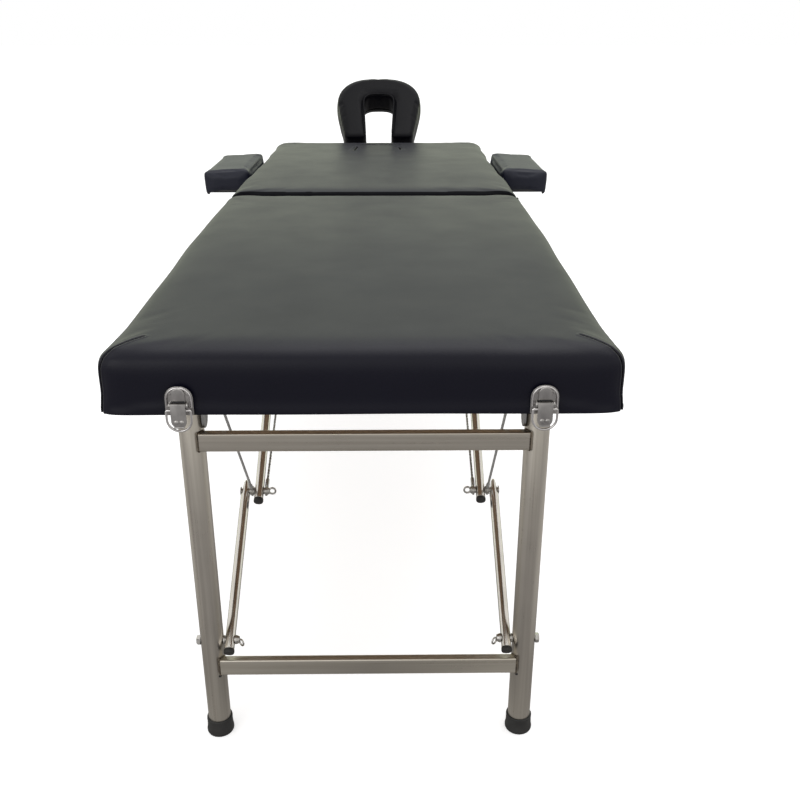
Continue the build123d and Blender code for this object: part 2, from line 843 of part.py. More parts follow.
def make_latch_bail(side):
    x = side * latch_x
    top = latch_pivot_height - bail_pivot_drop
    half = bail_inner_width / 2 + bail_wire_radius
    low = top - bail_length
    y = -latch_pivot_y
    ends_x = lever_width / 2 - bail_end_bite
    corner = bail_corner_radius
    middle = corner * corner_share
    with BuildPart() as bail:
        with BuildLine() as path:
            Polyline(
                (x - ends_x, y, top),
                (x - half, y, top),
                (x - half, y, low + corner),
                (x - half + middle, y, low + middle),
                (x - half + corner, y, low),
                (x + half - corner, y, low),
                (x + half - middle, y, low + middle),
                (x + half, y, low + corner),
                (x + half, y, top),
                (x + ends_x, y, top),
            )
        with BuildSketch(Plane(origin=path.line @ 0, z_dir=path.line % 0)):
            RegularPolygon(bail_wire_radius, shank_flat_count)
        sweep(transition=Transition.RIGHT)
    return bail


# Catches on the far end face, which the bails hook when the table is folded shut
def make_latch_catches():
    back = end_face + seat_clearance
    front = back + latch_plate_thickness
    with BuildPart() as catches:
        for side in both:
            x = side * latch_x
            with Locations((x, (back + front) / 2, latch_plate_bottom + catch_height / 2)):
                Box(catch_width, latch_plate_thickness, catch_height)
            hook_x = x - latch_boss_width / 2
            with BuildSketch(Plane.YZ.offset(hook_x)):
                with BuildLine():
                    Polyline(
                        (front, latch_pivot_height - catch_hook_height),
                        (front + catch_hook_depth, latch_pivot_height - catch_hook_height / 2),
                        (front + catch_hook_depth, latch_pivot_height + catch_hook_height),
                        (front + catch_hook_depth / 2, latch_pivot_height + catch_hook_height),
                        (front + catch_hook_depth / 2, latch_pivot_height + catch_hook_height / 3),
                        (front, latch_pivot_height + catch_hook_height / 3),
                        close=True,
                    )
                make_face()
            extrude(amount=latch_boss_width)
    return catches


# Sockets in the far half's rails, for the rods of the face cradle and of the arm pads
def make_cradle_sockets():
    inner = frame_reach - end_rail_width
    seat = end_face + seat_clearance
    with BuildPart() as sockets:
        for side in both:
            x = side * cradle_rod_x
            rod_y(x, inner, seat, rod_height, cradle_socket_radius)
            rod_y(x, seat, seat + socket_flange_thickness, rod_height, socket_flange_radius)
            rod_y(
                x, inner - overrun, half_length + overrun, rod_height,
                around(cradle_rod_radius, bar_flat_count), Mode.SUBTRACT,
            )
    return sockets


def make_arm_sockets():
    inner = frame_half_width - side_rail_width
    seat = half_width - cover_inset + seat_clearance
    with BuildPart() as sockets:
        for side in both:
            for place in both:
                y = arm_rod_y(place)
                rod(side * inner, side * seat, y, rod_height, arm_socket_radius)
                outer = seat + socket_flange_thickness
                rod(side * seat, side * outer, y, rod_height, arm_socket_flange_radius, flats=bar_flat_count)
                rod(
                    side * (inner - overrun), side * (outer + overrun), y, rod_height,
                    around(arm_rod_radius), Mode.SUBTRACT,
                )
    return sockets


# Face cradle: a bent rod that slides into the sockets, and a platform that tilts on its cross rod
def make_cradle_rods():
    inner = half_length - cradle_rod_engagement
    with BuildPart() as rods:
        for side in both:
            rod_y(side * cradle_rod_x, inner, cradle_pivot_y, rod_height, cradle_rod_radius)
        reach = cradle_rod_x + cross_rod_overhang
        pin(-reach, reach, cradle_pivot_y, rod_height, cradle_rod_radius, bar_flat_count)
    return rods


# Star knobs on the ends of the cross rod, which clamp the cradle's tilt
def make_cradle_knobs():
    inner = cradle_rod_x + cradle_rod_radius + knob_seat
    with BuildPart() as knobs:
        for side in both:
            plane = Plane(
                origin=(side * inner, cradle_pivot_y, rod_height), x_dir=(0, 1, 0), z_dir=(side, 0, 0)
            )
            with BuildSketch(plane):
                with PolarLocations(knob_radius - knob_lobe_radius, 6):
                    RegularPolygon(knob_lobe_radius, shank_flat_count)
                RegularPolygon(knob_radius - knob_lobe_radius, bar_flat_count)
                RegularPolygon(around(cradle_rod_radius, bar_flat_count), bar_flat_count, mode=Mode.SUBTRACT)
            extrude(amount=knob_depth)
    return knobs


cradle_plane = Plane(
    origin=(0, cradle_pivot_y, rod_height),
    x_dir=(1, 0, 0),
    z_dir=(0, -sin(radians(cradle_tilt)), cos(radians(cradle_tilt))),
)


def draw_horseshoe(inset, start):
    """The horseshoe in the cradle's plane, open towards the table, drawn in by the inset."""
    arm_end = face_arm_end_half_width - inset
    widest = face_widest_half_width - inset
    gap = face_gap_half_width + inset
    far = face_cushion_start + face_cushion_length - inset
    corner = face_end_corner
    gap_end = face_cushion_start + face_gap_length - face_gap_half_width
    tip = min(face_arm_tip_radius, (arm_end - gap) * arm_tip_share)
    swell = (arm_end + (widest - arm_end) * arm_swell_share, (start + tip + face_widest_at) / 2)
    half = bend(0, gap_end, gap, 90, 0, corner_flat_count)
    half += bend(gap + tip, start + tip, tip, 180, 270, tip_flat_count)
    half += bend(arm_end - tip, start + tip, tip, -90, 0, tip_flat_count)
    half += [swell, (widest, face_widest_at)]
    half += bend(widest - corner, far - corner, corner, 0, 90, corner_flat_count)
    mirrored = [(-x, y) for x, y in reversed(half[1:])]
    with BuildLine() as edge:
        Polyline(*half, *mirrored, close=True)
    make_face(edge.edges())


def make_cradle_platform():
    """A plywood horseshoe with two ears that turn on the cross rod."""
    with BuildPart() as platform:
        with BuildSketch(cradle_plane.offset(platform_rise)):
            draw_horseshoe(platform_inset, platform_start)
        extrude(amount=platform_thickness)
    return platform


def make_cradle_ears():
    low = rod_height
    with BuildPart() as ears:
        for side in both:
            x = side * cradle_ear_spacing / 2
            plane = Plane(
                origin=(x - cradle_ear_thickness / 2, cradle_pivot_y, low),
                x_dir=cradle_plane.y_dir,
                z_dir=(1, 0, 0),
            )
            with BuildSketch(plane):
                RegularPolygon(cradle_ear_radius, bar_flat_count)
                with BuildLine():
                    Polyline(
                        (-cradle_ear_radius * ear_web_share, 0),
                        (platform_start, platform_rise),
                        (platform_start + cradle_ear_reach, platform_rise),
                        (platform_start + cradle_ear_reach, platform_rise - bracket_wall),
                        (cradle_ear_radius * ear_web_share, -cradle_ear_radius * ear_web_share),
                        close=True,
                    )
                make_face()
            extrude(amount=cradle_ear_thickness)
            # The flange under the platform
            flange_middle = platform_start + cradle_ear_reach / 2
            with BuildSketch(cradle_plane.offset(platform_rise)):
                with Locations((x, flange_middle)):
                    Rectangle(4 * cradle_ear_thickness, cradle_ear_reach)
            extrude(amount=-bracket_wall)
            rod(
                x - 2 * cradle_ear_thickness, x + 2 * cradle_ear_thickness, cradle_pivot_y, rod_height,
                around(cradle_rod_radius, bar_flat_count), Mode.SUBTRACT, bar_flat_count,
            )
    return ears


def make_face_cushion():
    base = platform_rise + platform_thickness
    with BuildPart() as cushion:
        for rise, inset in zip(face_rise_shares, face_inset_shares):
            step = inset * face_top_round
            with BuildSketch(cradle_plane.offset(base + rise * face_cushion_thickness)):
                draw_horseshoe(step, face_cushion_start + step)
        loft(ruled=True)
    return cushion


# Arm pads: cushions on boards whose cleats hold two rods
def make_arm_cushion(side):
    with BuildPart() as cushion:
        for rise, inset in zip(arm_pad_rise_shares, arm_pad_inset_shares):
            step = inset * arm_pad_round
            with BuildSketch(Plane.XY.offset(arm_pad_bottom + rise * arm_pad_depth)):
                with Locations((side * (arm_pad_x + arm_pad_width / 2), arm_pad_start + arm_pad_length / 2)):
                    RectangleRounded(arm_pad_width - 2 * step, arm_pad_length - 2 * step, arm_pad_corner)
        loft(ruled=True)
    return cushion


def make_arm_board(side):
    center = (side * (arm_pad_x + arm_pad_width / 2), arm_pad_start + arm_pad_length / 2)
    board_bottom = arm_pad_bottom - arm_board_thickness
    cleat_bottom = rod_height - arm_socket_radius
    with BuildPart() as board:
        with BuildSketch(Plane.XY.offset(board_bottom)):
            with Locations(center):
                Rectangle(arm_pad_width - 2 * arm_board_inset, arm_pad_length - 2 * arm_board_inset)
        extrude(amount=arm_board_thickness)
        for place in both:
            cleat_x = side * (arm_pad_x + arm_cleat_setback + arm_cleat_length / 2)
            with Locations((cleat_x, arm_rod_y(place), (board_bottom + cleat_bottom) / 2)):
                Box(arm_cleat_length, arm_cleat_width, board_bottom - cleat_bottom)
            rod(
                side * half_width, side * (arm_pad_x + arm_rod_reach),
                arm_rod_y(place), rod_height, arm_rod_radius, Mode.SUBTRACT,
            )
    return board


def make_arm_rods(side):
    with BuildPart() as rods:
        for place in both:
            rod(
                side * (half_width - arm_rod_engagement),
                side * (arm_pad_x + arm_rod_reach),
                arm_rod_y(place), rod_height, arm_rod_radius,
            )
    return rods


for name, end in ends.items():
    keep(make_cushion(end), f"{name}_cushion")
    keep(make_border(end), f"{name}_border")
    keep(make_rails(end), f"{name}_rails")
    keep(make_deck(end), f"{name}_deck")
    keep(make_leg_brackets(end), f"{name}_leg_brackets")
    keep(make_pivot_bolts(end), f"{name}_pivot_bolts")
    keep(make_brace_brackets(end), f"{name}_brace_brackets")
    keep(make_legs(end), f"{name}_legs")
    keep(make_crossbars(end), f"{name}_crossbars")
    keep(make_feet(end), f"{name}_feet")
    keep(make_link_bolts(end), f"{name}_link_bolts")
    keep(make_lower_links(end), f"{name}_lower_links")
    keep(make_plugs(end, lower_link_x, leg_y, link_joint_height), f"{name}_lower_link_plugs")
    keep(make_elbow_bolts(end), f"{name}_elbow_bolts")
    keep(make_upper_links(end), f"{name}_upper_links")
    keep(make_plugs(end, upper_link_x, elbow_y, elbow_height), f"{name}_upper_link_plugs")
    keep(make_ring_nuts(end), f"{name}_ring_nuts")
    elbow = (end * elbow_y, elbow_height)
    keep(make_cables(cable_x, (end * leg_y, pivot_height), elbow), f"{name}_leg_cables")
    anchor = (end * cable_anchor_y, cable_anchor_height)
    keep(make_cables(crease_cable_x, elbow, anchor), f"{name}_crease_cables")
    keep(make_hinge_leaves(end), f"{name}_hinge_leaves")

keep(make_latch_bases(), "latch_bases")
keep(make_latch_catches(), "latch_catches")
keep(make_cradle_sockets(), "cradle_sockets")
keep(make_arm_sockets(), "arm_pad_sockets")
keep(make_cradle_rods(), "cradle_rods")
keep(make_cradle_knobs(), "cradle_knobs")
keep(make_cradle_platform(), "cradle_platform")
keep(make_cradle_ears(), "cradle_ears")
keep(make_face_cushion(), "face_cushion")
for name, side in sides.items():
    keep(make_latch_lever(side), f"{name}_latch_lever")
    keep(make_latch_bail(side), f"{name}_latch_bail")
    keep(make_arm_cushion(side), f"{name}_arm_cushion")
    keep(make_arm_board(side), f"{name}_arm_board")
    keep(make_arm_rods(side), f"{name}_arm_rods")

# The origin goes on the floor under the middle of the whole table.
low_y = min(part.bounding_box().min.Y for part in pieces.values())
high_y = max(part.bounding_box().max.Y for part in pieces.values())
crease_y = -(low_y + high_y) / 2
for label, part in pieces.items():
    placed = part.moved(Location((0, crease_y, 0)))
    placed.label = label
    export_step(placed, f"parts/{label}.step")
print(len(pieces), "pieces, crease at y =", round(crease_y, 3))
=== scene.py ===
# %% [markdown]
# # A folding massage table
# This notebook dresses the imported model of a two-part massage table: padded halves, steel leg frames, folding
# braces, draw latches, a horseshoe headrest and two arm pads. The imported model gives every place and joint, and
# each cell below models one group of pieces, or one finish, the way a maker would think of it.

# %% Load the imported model
import json
from math import atan2, cos, degrees, pi, radians, sin, sqrt

import bmesh
import bpy
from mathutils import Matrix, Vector


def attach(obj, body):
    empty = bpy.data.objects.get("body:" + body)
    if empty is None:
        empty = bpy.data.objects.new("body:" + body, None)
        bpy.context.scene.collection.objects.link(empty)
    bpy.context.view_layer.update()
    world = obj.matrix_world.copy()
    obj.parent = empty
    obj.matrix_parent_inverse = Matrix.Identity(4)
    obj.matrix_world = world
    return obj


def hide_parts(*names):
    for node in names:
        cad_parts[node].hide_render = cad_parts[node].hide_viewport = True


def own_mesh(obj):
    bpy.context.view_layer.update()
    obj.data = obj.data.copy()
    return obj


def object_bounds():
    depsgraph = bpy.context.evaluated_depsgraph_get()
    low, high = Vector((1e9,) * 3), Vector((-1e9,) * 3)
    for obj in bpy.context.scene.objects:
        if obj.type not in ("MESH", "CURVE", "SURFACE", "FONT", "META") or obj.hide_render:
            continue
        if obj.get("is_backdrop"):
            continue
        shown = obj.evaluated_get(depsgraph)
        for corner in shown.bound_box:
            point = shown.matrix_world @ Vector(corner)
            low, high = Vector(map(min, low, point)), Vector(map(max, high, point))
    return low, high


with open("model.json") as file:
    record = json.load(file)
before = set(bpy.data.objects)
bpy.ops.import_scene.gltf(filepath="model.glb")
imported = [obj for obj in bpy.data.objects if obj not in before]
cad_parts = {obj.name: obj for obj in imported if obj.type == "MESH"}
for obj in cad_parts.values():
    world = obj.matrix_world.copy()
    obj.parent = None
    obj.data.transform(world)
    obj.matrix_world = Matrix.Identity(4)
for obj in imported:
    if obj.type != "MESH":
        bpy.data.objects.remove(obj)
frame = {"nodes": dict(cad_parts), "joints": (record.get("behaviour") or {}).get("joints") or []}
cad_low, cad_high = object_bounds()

joints = {joint["name"]: joint for joint in frame["joints"]}
crease = joints["center_fold"]["pos_m"][1]

# %% [markdown]
# Sizes are written in millimetres from the crease, as on a drawing: +X to the right, +Y towards the headrest,
# +Z up. One helper turns such a place into Blender's metres, and another turns it back, so that edges and faces
# can be picked by their place on the drawing.

# %% Drawing places
MM = 0.001


def spot(x, y, z):
    return Vector((x * MM, y * MM + crease, z * MM))


def drawn(point):
    return Vector((point.x / MM, (point.y - crease) / MM, point.z / MM))


print("a foot stands at", spot(218, -860, 0))

# %% Sizes of the table
half_length = 930.0
half_width = 300.0
table_top = 611.0
deck_top = 560.0
rail_top = 554.0
rail_bottom = 534.0
frame_half_width = 292.0
frame_reach = 922.0
foot_corner = 24.0
head_corner = 36.0
crease_corner = 24.0
top_round = 21.0

leg_x = 218.0
leg_y = 860.0
leg_radius = 16.0
pivot_height = rail_top - 20.0
link_joint_height = 159.0
link_radius = 7.0
lower_link_x = leg_x - 25.0
upper_link_x = leg_x - 46.0
cable_x = leg_x - 35.5
crease_cable_x = upper_link_x - 10.8
lower_link_length = 240.0
brace_y, brace_height = 220.73, pivot_height + 6.0
link_slope = atan2(brace_height - link_joint_height, leg_y - brace_y)
elbow_y = leg_y - lower_link_length * cos(link_slope)
elbow_height = link_joint_height + lower_link_length * sin(link_slope)
upper_link_length = (elbow_y - brace_y) / cos(link_slope)
rod_height = rail_bottom + 10.0
cradle_pivot_y = 985.0
cradle_tilt = 34.0
print("links slope", round(degrees(link_slope), 2), "degrees, upper link", round(upper_link_length, 1), "mm")

# %% [markdown]
# Blender's operators act on what is selected, so each helper here first selects only its own piece. `turned` is
# the workshop's lathe: a disc is extruded from station to station and widened or narrowed at each. `block` is a
# sawn blank, and `soften` rounds its sharp edges with an applied Bevel. Most parts come in a left and a right one,
# and again at the far end, so `pair` and `both_ends` make the others from the first.

# %% Picking and shaping helpers
def deselect():
    bpy.ops.object.select_all(action="DESELECT")


def only(piece):
    deselect()
    piece.select_set(True)
    bpy.context.view_layer.objects.active = piece


def named(name):
    piece = bpy.context.active_object
    piece.name = name
    piece.data.name = name
    return piece


def settle(piece):
    """Puts the object's place, turn and scale into its mesh."""
    only(piece)
    bpy.ops.object.transform_apply(location=True, rotation=True, scale=True)
    return piece


def edit(piece):
    only(piece)
    bpy.ops.object.mode_set(mode="EDIT")
    bpy.ops.mesh.select_all(action="DESELECT")


def edit_all(piece):
    edit(piece)
    bpy.ops.mesh.select_all(action="SELECT")


def leave():
    bpy.ops.object.mode_set(mode="OBJECT")


def extrude(*move):
    """Extrudes what is selected by a move in millimetres."""
    bpy.ops.mesh.extrude_region_move(TRANSFORM_OT_translate={"value": tuple(part * MM for part in move)})


def pick(piece, kind, test):
    """In edit mode, selects the vertices, edges or faces whose middle and direction pass the test."""
    bpy.ops.mesh.select_mode(type=kind)
    bpy.ops.mesh.select_all(action="DESELECT")
    mesh = bmesh.from_edit_mesh(piece.data)
    if kind == "VERT":
        for vertex in mesh.verts:
            vertex.select = bool(test(drawn(vertex.co), None))
    elif kind == "EDGE":
        for edge in mesh.edges:
            first, last = (v.co for v in edge.verts)
            edge.select = bool(test(drawn((first + last) / 2), (last - first).normalized()))
    else:
        for face in mesh.faces:
            face.select = bool(test(drawn(face.calc_center_median()), face.normal))
    mesh.select_flush_mode()
    bmesh.update_edit_mesh(piece.data)


def round_edges(piece, test, radius, segments=6):
    edit(piece)
    pick(piece, "EDGE", test)
    bpy.ops.mesh.bevel(offset=radius * MM, segments=segments, affect="EDGES")
    leave()
    return piece


def apply(piece, kind, **settings):
    only(piece)
    modifier = piece.modifiers.new(kind.title(), kind)
    for key, value in settings.items():
        setattr(modifier, key, value)
    bpy.ops.object.modifier_apply(modifier=modifier.name)
    return piece


def soften(piece, radius, segments=2, angle=40):
    return apply(
        piece, "BEVEL", width=radius * MM, segments=segments, limit_method="ANGLE",
        angle_limit=radians(angle), harden_normals=False,
    )


def cut_away(piece, cutter):
    """Takes the cutter's space out of the piece with a Boolean."""
    apply(piece, "BOOLEAN", operation="DIFFERENCE", object=cutter, solver="EXACT")
    bpy.data.objects.remove(cutter)
    return piece


def face_outwards(piece):
    edit_all(piece)
    bpy.ops.mesh.remove_doubles(threshold=1e-5)
    bpy.ops.mesh.normals_make_consistent(inside=False)
    leave()
    return piece


def block(name, size, middle):
    deselect()
    bpy.ops.mesh.primitive_cube_add(size=1, location=spot(*middle))
    piece = named(name)
    piece.scale = Vector(size) * MM
    return settle(piece)


def aimed(piece, direction, place):
    """Points a piece that stands on Blender's own centre in a direction, and moves it to its place."""
    piece.rotation_mode = "QUATERNION"
    piece.rotation_quaternion = Vector(direction).to_track_quat("Z", "Y")
    piece.location = spot(*place)
    return settle(piece)


def tipped(piece, angle, place):
    """Tips a piece that was modelled at the crease about the X axis, and moves it to its place."""
    piece.location = -spot(0, 0, 0)
    settle(piece)
    piece.rotation_mode = "XYZ"
    piece.rotation_euler = (angle, 0, 0)
    piece.location = spot(*place)
    return settle(piece)


def turned(name, stations, origin=(0, 0, 0), direction=(0, 0, 1), sides=40, turn=0.0):
    """Stations are (distance along the direction, radius), in millimetres."""
    deselect()
    first, radius = stations[0]
    bpy.ops.mesh.primitive_circle_add(
        vertices=sides, radius=radius * MM, fill_type="NGON", location=(0, 0, first * MM),
        rotation=(0, 0, turn),
    )
    piece = named(name)
    edit_all(settle(piece))
    before = first
    for distance, wide in stations[1:]:
        extrude(0, 0, distance - before)
        if wide != radius:
            share = wide / radius
            bpy.ops.transform.resize(value=(share, share, 1), center_override=(0, 0, distance * MM))
        before, radius = distance, wide
    bpy.ops.mesh.select_all(action="SELECT")
    bpy.ops.mesh.normals_make_consistent(inside=False)
    leave()
    return aimed(piece, direction, origin)


def rod(name, length, radius, edge, origin, direction, sides=40):
    """A rod, barrel or washer whose two ends have a small bevel."""
    stations = [(0, radius - edge), (edge, radius), (length - edge, radius), (length, radius - edge)]
    return turned(name, stations, origin, direction, sides)


def wire(name, corners, bend, radius, closed=False, rings=6):
    """A bent wire: a polygon's corners are placed, rounded by a vertex bevel and given a round section."""
    deselect()
    bpy.ops.mesh.primitive_circle_add(vertices=len(corners), radius=1, fill_type="NOTHING")
    piece = named(name)
    edit(piece)
    mesh = bmesh.from_edit_mesh(piece.data)
    mesh.verts.ensure_lookup_table()
    for vertex, corner in zip(mesh.verts, corners):
        vertex.co = spot(*corner)
    last = mesh.verts[len(corners) - 1]
    for edge in mesh.edges:
        edge.select = (not closed) and set(edge.verts) == {mesh.verts[0], last}
    bpy.ops.mesh.select_mode(type="EDGE")
    bmesh.update_edit_mesh(piece.data)
    if not closed:
        bpy.ops.mesh.delete(type="EDGE")
    bpy.ops.mesh.select_mode(type="VERT")
    mesh = bmesh.from_edit_mesh(piece.data)
    for vertex in mesh.verts:
        vertex.select = len(vertex.link_edges) == 2
    mesh.select_flush_mode()
    bmesh.update_edit_mesh(piece.data)
    if bend > 0:
        bpy.ops.mesh.bevel(offset=bend * MM, segments=rings, affect="VERTICES", clamp_overlap=True)
    leave()
    bpy.ops.object.convert(target="CURVE")
    piece = bpy.context.active_object
    piece.data.bevel_depth = radius * MM
    piece.data.bevel_resolution = 4
    piece.data.use_fill_caps = True
    bpy.ops.object.convert(target="MESH")
    piece = named(name)
    settle(piece)
    return face_outwards(piece)


def joined(name, pieces):
    deselect()
    for piece in pieces:
        piece.select_set(True)
    bpy.context.view_layer.objects.active = pieces[0]
    if len(pieces) > 1:
        bpy.ops.object.join()
    return named(name)


def mirrored_copy(piece, name, flip):
    """A copy with its own mesh, mirrored left to right (x) or from the near to the far half (y)."""
    twin = piece.copy()
    twin.data = piece.data.copy()
    twin.name = twin.data.name = name
    bpy.context.scene.collection.objects.link(twin)
    if flip == "x":
        twin.scale.x = -1
    else:
        twin.scale.y = -1
        twin.location.y = 2 * crease
    edit_all(settle(twin))
    bpy.ops.mesh.normals_make_consistent(inside=False)
    leave()
    return twin


def smooth(piece, angle=35):
    only(piece)
    bpy.ops.object.shade_smooth_by_angle(angle=radians(angle))
    return piece


def give(piece, material):
    piece.data.materials.clear()
    piece.data.materials.append(material)
    return piece


def fit(piece, body, nodes=(), slot=None, angle=35):
    """The last step of a rigid piece: shading, its body and the plain solids that it stands for. The slot for its
    finish is not used.
    """
    smooth(piece, angle)
    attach(piece, body)
    if nodes:
        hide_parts(*nodes)
    print(piece.name, len(piece.data.polygons), "faces")
    return piece


def pair(name, make, material):
    """A left and a right one from the same function, joined, in one finish."""
    return give(joined(name, [make(-1), make(1)]), material)


def both_ends(piece, body, node, slot):
    """Fits a near piece, and its mirror image at the far end."""
    far_piece = mirrored_copy(piece, piece.name.replace("near", "far"), "y")
    for one, end in ((piece, "near"), (far_piece, "far")):
        fit(one, f"{end}_{body}", (f"{end}_{node}",), slot)
    return piece, far_piece


# %% [markdown]
# Finishes are small node trees on Object coordinates. Each starts from a Principled shader with its plain values
# on the shader's own sockets, and gets noise for colour, roughness and bump. `Finish` keeps the tree at hand, so
# that each material reads as a short list of what is added.

# %% Finish helper
def set_stops(node, stops):
    """Gives a colour ramp its stops, each a position and a colour."""
    ramp = node.color_ramp
    while len(ramp.elements) < len(stops):
        ramp.elements.new(0.5)
    for element, (position, color) in zip(ramp.elements, stops):
        element.position = position
        element.color = (*color, 1)


def shader_choice(tree, share, first, second):
    """Mixes two shaders by a socket: 0 shows the first, 1 the second."""
    node = tree.nodes.new("ShaderNodeMixShader")
    for source, target in zip((share, first, second), node.inputs):
        tree.links.new(source, target)
    return node.outputs[0]


class Finish:
    def __init__(self, name, color, roughness, metallic=0.0, **sockets):
        self.material = bpy.data.materials.new(name)
        self.material.use_nodes = True
        self.tree = self.material.node_tree
        self.shader = self.tree.nodes["Principled BSDF"]
        self.set("Base Color", (*color, 1))
        self.set("Roughness", roughness)
        self.set("Metallic", metallic)
        for key, value in sockets.items():
            self.set(key.replace("_", " "), value)
        self.place = self.add("ShaderNodeTexCoord").outputs["Object"]

    def set(self, socket, value):
        self.shader.inputs[socket].default_value = value

    def add(self, kind, **settings):
        node = self.tree.nodes.new(kind)
        for key, value in settings.items():
            setattr(node, key, value)
        return node

    def join(self, source, target):
        self.tree.links.new(source, target)

    def stretched(self, scale):
        node = self.add("ShaderNodeMapping")
        node.inputs["Scale"].default_value = scale
        self.join(self.place, node.inputs["Vector"])
        return node.outputs["Vector"]

    def noise(self, scale, detail=3.0, roughness=0.5, place=None):
        node = self.add("ShaderNodeTexNoise")
        node.inputs["Scale"].default_value = scale
        node.inputs["Detail"].default_value = detail
        node.inputs["Roughness"].default_value = roughness
        self.join(place or self.place, node.inputs["Vector"])
        return node.outputs["Fac"]

    def cells(self, scale):
        node = self.add("ShaderNodeTexVoronoi")
        node.inputs["Scale"].default_value = scale
        self.join(self.place, node.inputs["Vector"])
        return node.outputs["Distance"]

    def ranged(self, source, low, high, to_low, to_high):
        node = self.add("ShaderNodeMapRange")
        for key, value in (("From Min", low), ("From Max", high), ("To Min", to_low), ("To Max", to_high)):
            node.inputs[key].default_value = value
        self.join(source, node.inputs["Value"])
        return node.outputs["Result"]

    def colors(self, source, stops):
        node = self.add("ShaderNodeValToRGB")
        set_stops(node, stops)
        self.join(source, node.inputs["Fac"])
        return node.outputs["Color"]

    def mixed(self, first, second, share):
        """Mixes two colours by a number or by a socket."""
        node = self.add("ShaderNodeMix", data_type="RGBA")
        for key, value in (("A", first), ("B", second)):
            socket = [s for s in node.inputs if s.name == key and s.type == "RGBA"][0]
            if isinstance(value, tuple):
                socket.default_value = (*value, 1)
            else:
                self.join(value, socket)
        if isinstance(share, float):
            node.inputs[0].default_value = share
        else:
            self.join(share, node.inputs[0])
        return [s for s in node.outputs if s.type == "RGBA"][0]

    def math(self, operation, first, second=0.0):
        node = self.add("ShaderNodeMath", operation=operation)
        for index, value in enumerate((first, second)):
            if isinstance(value, float):
                node.inputs[index].default_value = value
            else:
                self.join(value, node.inputs[index])
        return node.outputs["Value"]

    def attribute(self, name):
        return self.add("ShaderNodeAttribute", attribute_name=name).outputs["Fac"]

    def color_from(self, source):
        self.join(source, self.shader.inputs["Base Color"])

    def roughness_from(self, source):
        self.join(source, self.shader.inputs["Roughness"])

    def bumps(self, *heights):
        """Chains bumps: each is (height socket, strength, distance in millimetres)."""
        normal = None
        for height, strength, distance in heights:
            node = self.add("ShaderNodeBump")
            node.inputs["Strength"].default_value = strength
            node.inputs["Distance"].default_value = distance * MM
            self.join(height, node.inputs["Height"])
            if normal:
                self.join(normal, node.inputs["Normal"])
            normal = node.outputs["Normal"]
        self.join(normal, self.shader.inputs["Normal"])


# %% [markdown]
# The cover is coated fabric that passes for leather: nearly black, with a slight blue in the shade, pressed with
# a pebble grain of about a millimetre. Its grey on top is no colour of its own but the room seen at a shallow
# angle, so the colour stays dark and the roughness does the work. Seams and tucks are darker: a dark seam line,
# and painted shade in the tucks. The bottoms of deep folds and the faces that meet at the crease get a finish of
# their own, darker and rougher still: painted shade where the cover presses together.

# %% Cover materials
def cover_finish(name, color, pale, roughness, ior=1.38):
    finish = Finish(name, color, roughness, IOR=ior)
    patches = finish.noise(5, 4)
    pebbles = finish.cells(900)
    fine = finish.noise(2600, 2)
    folds = finish.noise(26, 3, place=finish.stretched((1, 0.5, 1)))
    shade = finish.colors(patches, [(0.35, color), (0.75, pale)])
    # Darker near seams, tucks and the dip: a dark seam line, and painted shade in the tucks and the dip.
    seam_and_fold_shade = finish.attribute("seam_and_fold_shade")
    finish.color_from(finish.mixed(shade, tuple(0.45 * c for c in color), seam_and_fold_shade))
    worn = finish.ranged(finish.noise(14, 5), 0.3, 0.7, roughness - 0.02, roughness + 0.025)
    finish.roughness_from(worn)
    finish.bumps((folds, 0.1, 2.0), (pebbles, 0.35, 0.25), (fine, 0.15, 0.12))
    return finish.material


table_cover = cover_finish("table_cover", (0.0008, 0.0008, 0.007), (0.002, 0.002, 0.009), 0.42, ior=1.34)
headrest_cover = cover_finish("headrest_cover", (0.0012, 0.0012, 0.0028), (0.0026, 0.0026, 0.0042), 0.36, ior=1.2)
arm_cover = cover_finish("arm_pad_cover", (0.0075, 0.009, 0.019), (0.011, 0.013, 0.025), 0.44)
# Painted shade: a darker, rougher finish for the bottoms of seams and tucks and for the faces at the crease.
painted_fold_shade = cover_finish("painted_fold_shade", (0.0006, 0.0006, 0.002), (0.0012, 0.0012, 0.003), 0.6, ior=1.1)

print("cover finishes:", table_cover.name, headrest_cover.name, arm_cover.name, painted_fold_shade.name)

# %% [markdown]
# The leg tubes are stainless steel with a drawn satin: fine lines along each tube. The lines come from noise
# stretched along the tube's own axis, and they change the roughness and the colour a little. The links and the
# latches are polished, so they only get faint smears.

# %% Steel materials
def drawn_steel(name, color, dark, roughness, stretch, marks=1.0):
    finish = Finish(name, color, roughness, metallic=1.0)
    lines = finish.noise(1, 4, 0.6, finish.stretched(stretch))
    smears = finish.noise(18, 4)
    finish.color_from(finish.colors(lines, [(0.3, dark), (0.62, color)]))
    rough = finish.ranged(finish.math("ADD", lines, smears), 0.6, 1.4, roughness - 0.07, roughness + 0.1)
    finish.roughness_from(rough)
    finish.bumps((lines, 0.15 * marks, 0.1), (finish.noise(220, 2), 0.05, 0.2))
    return finish.material


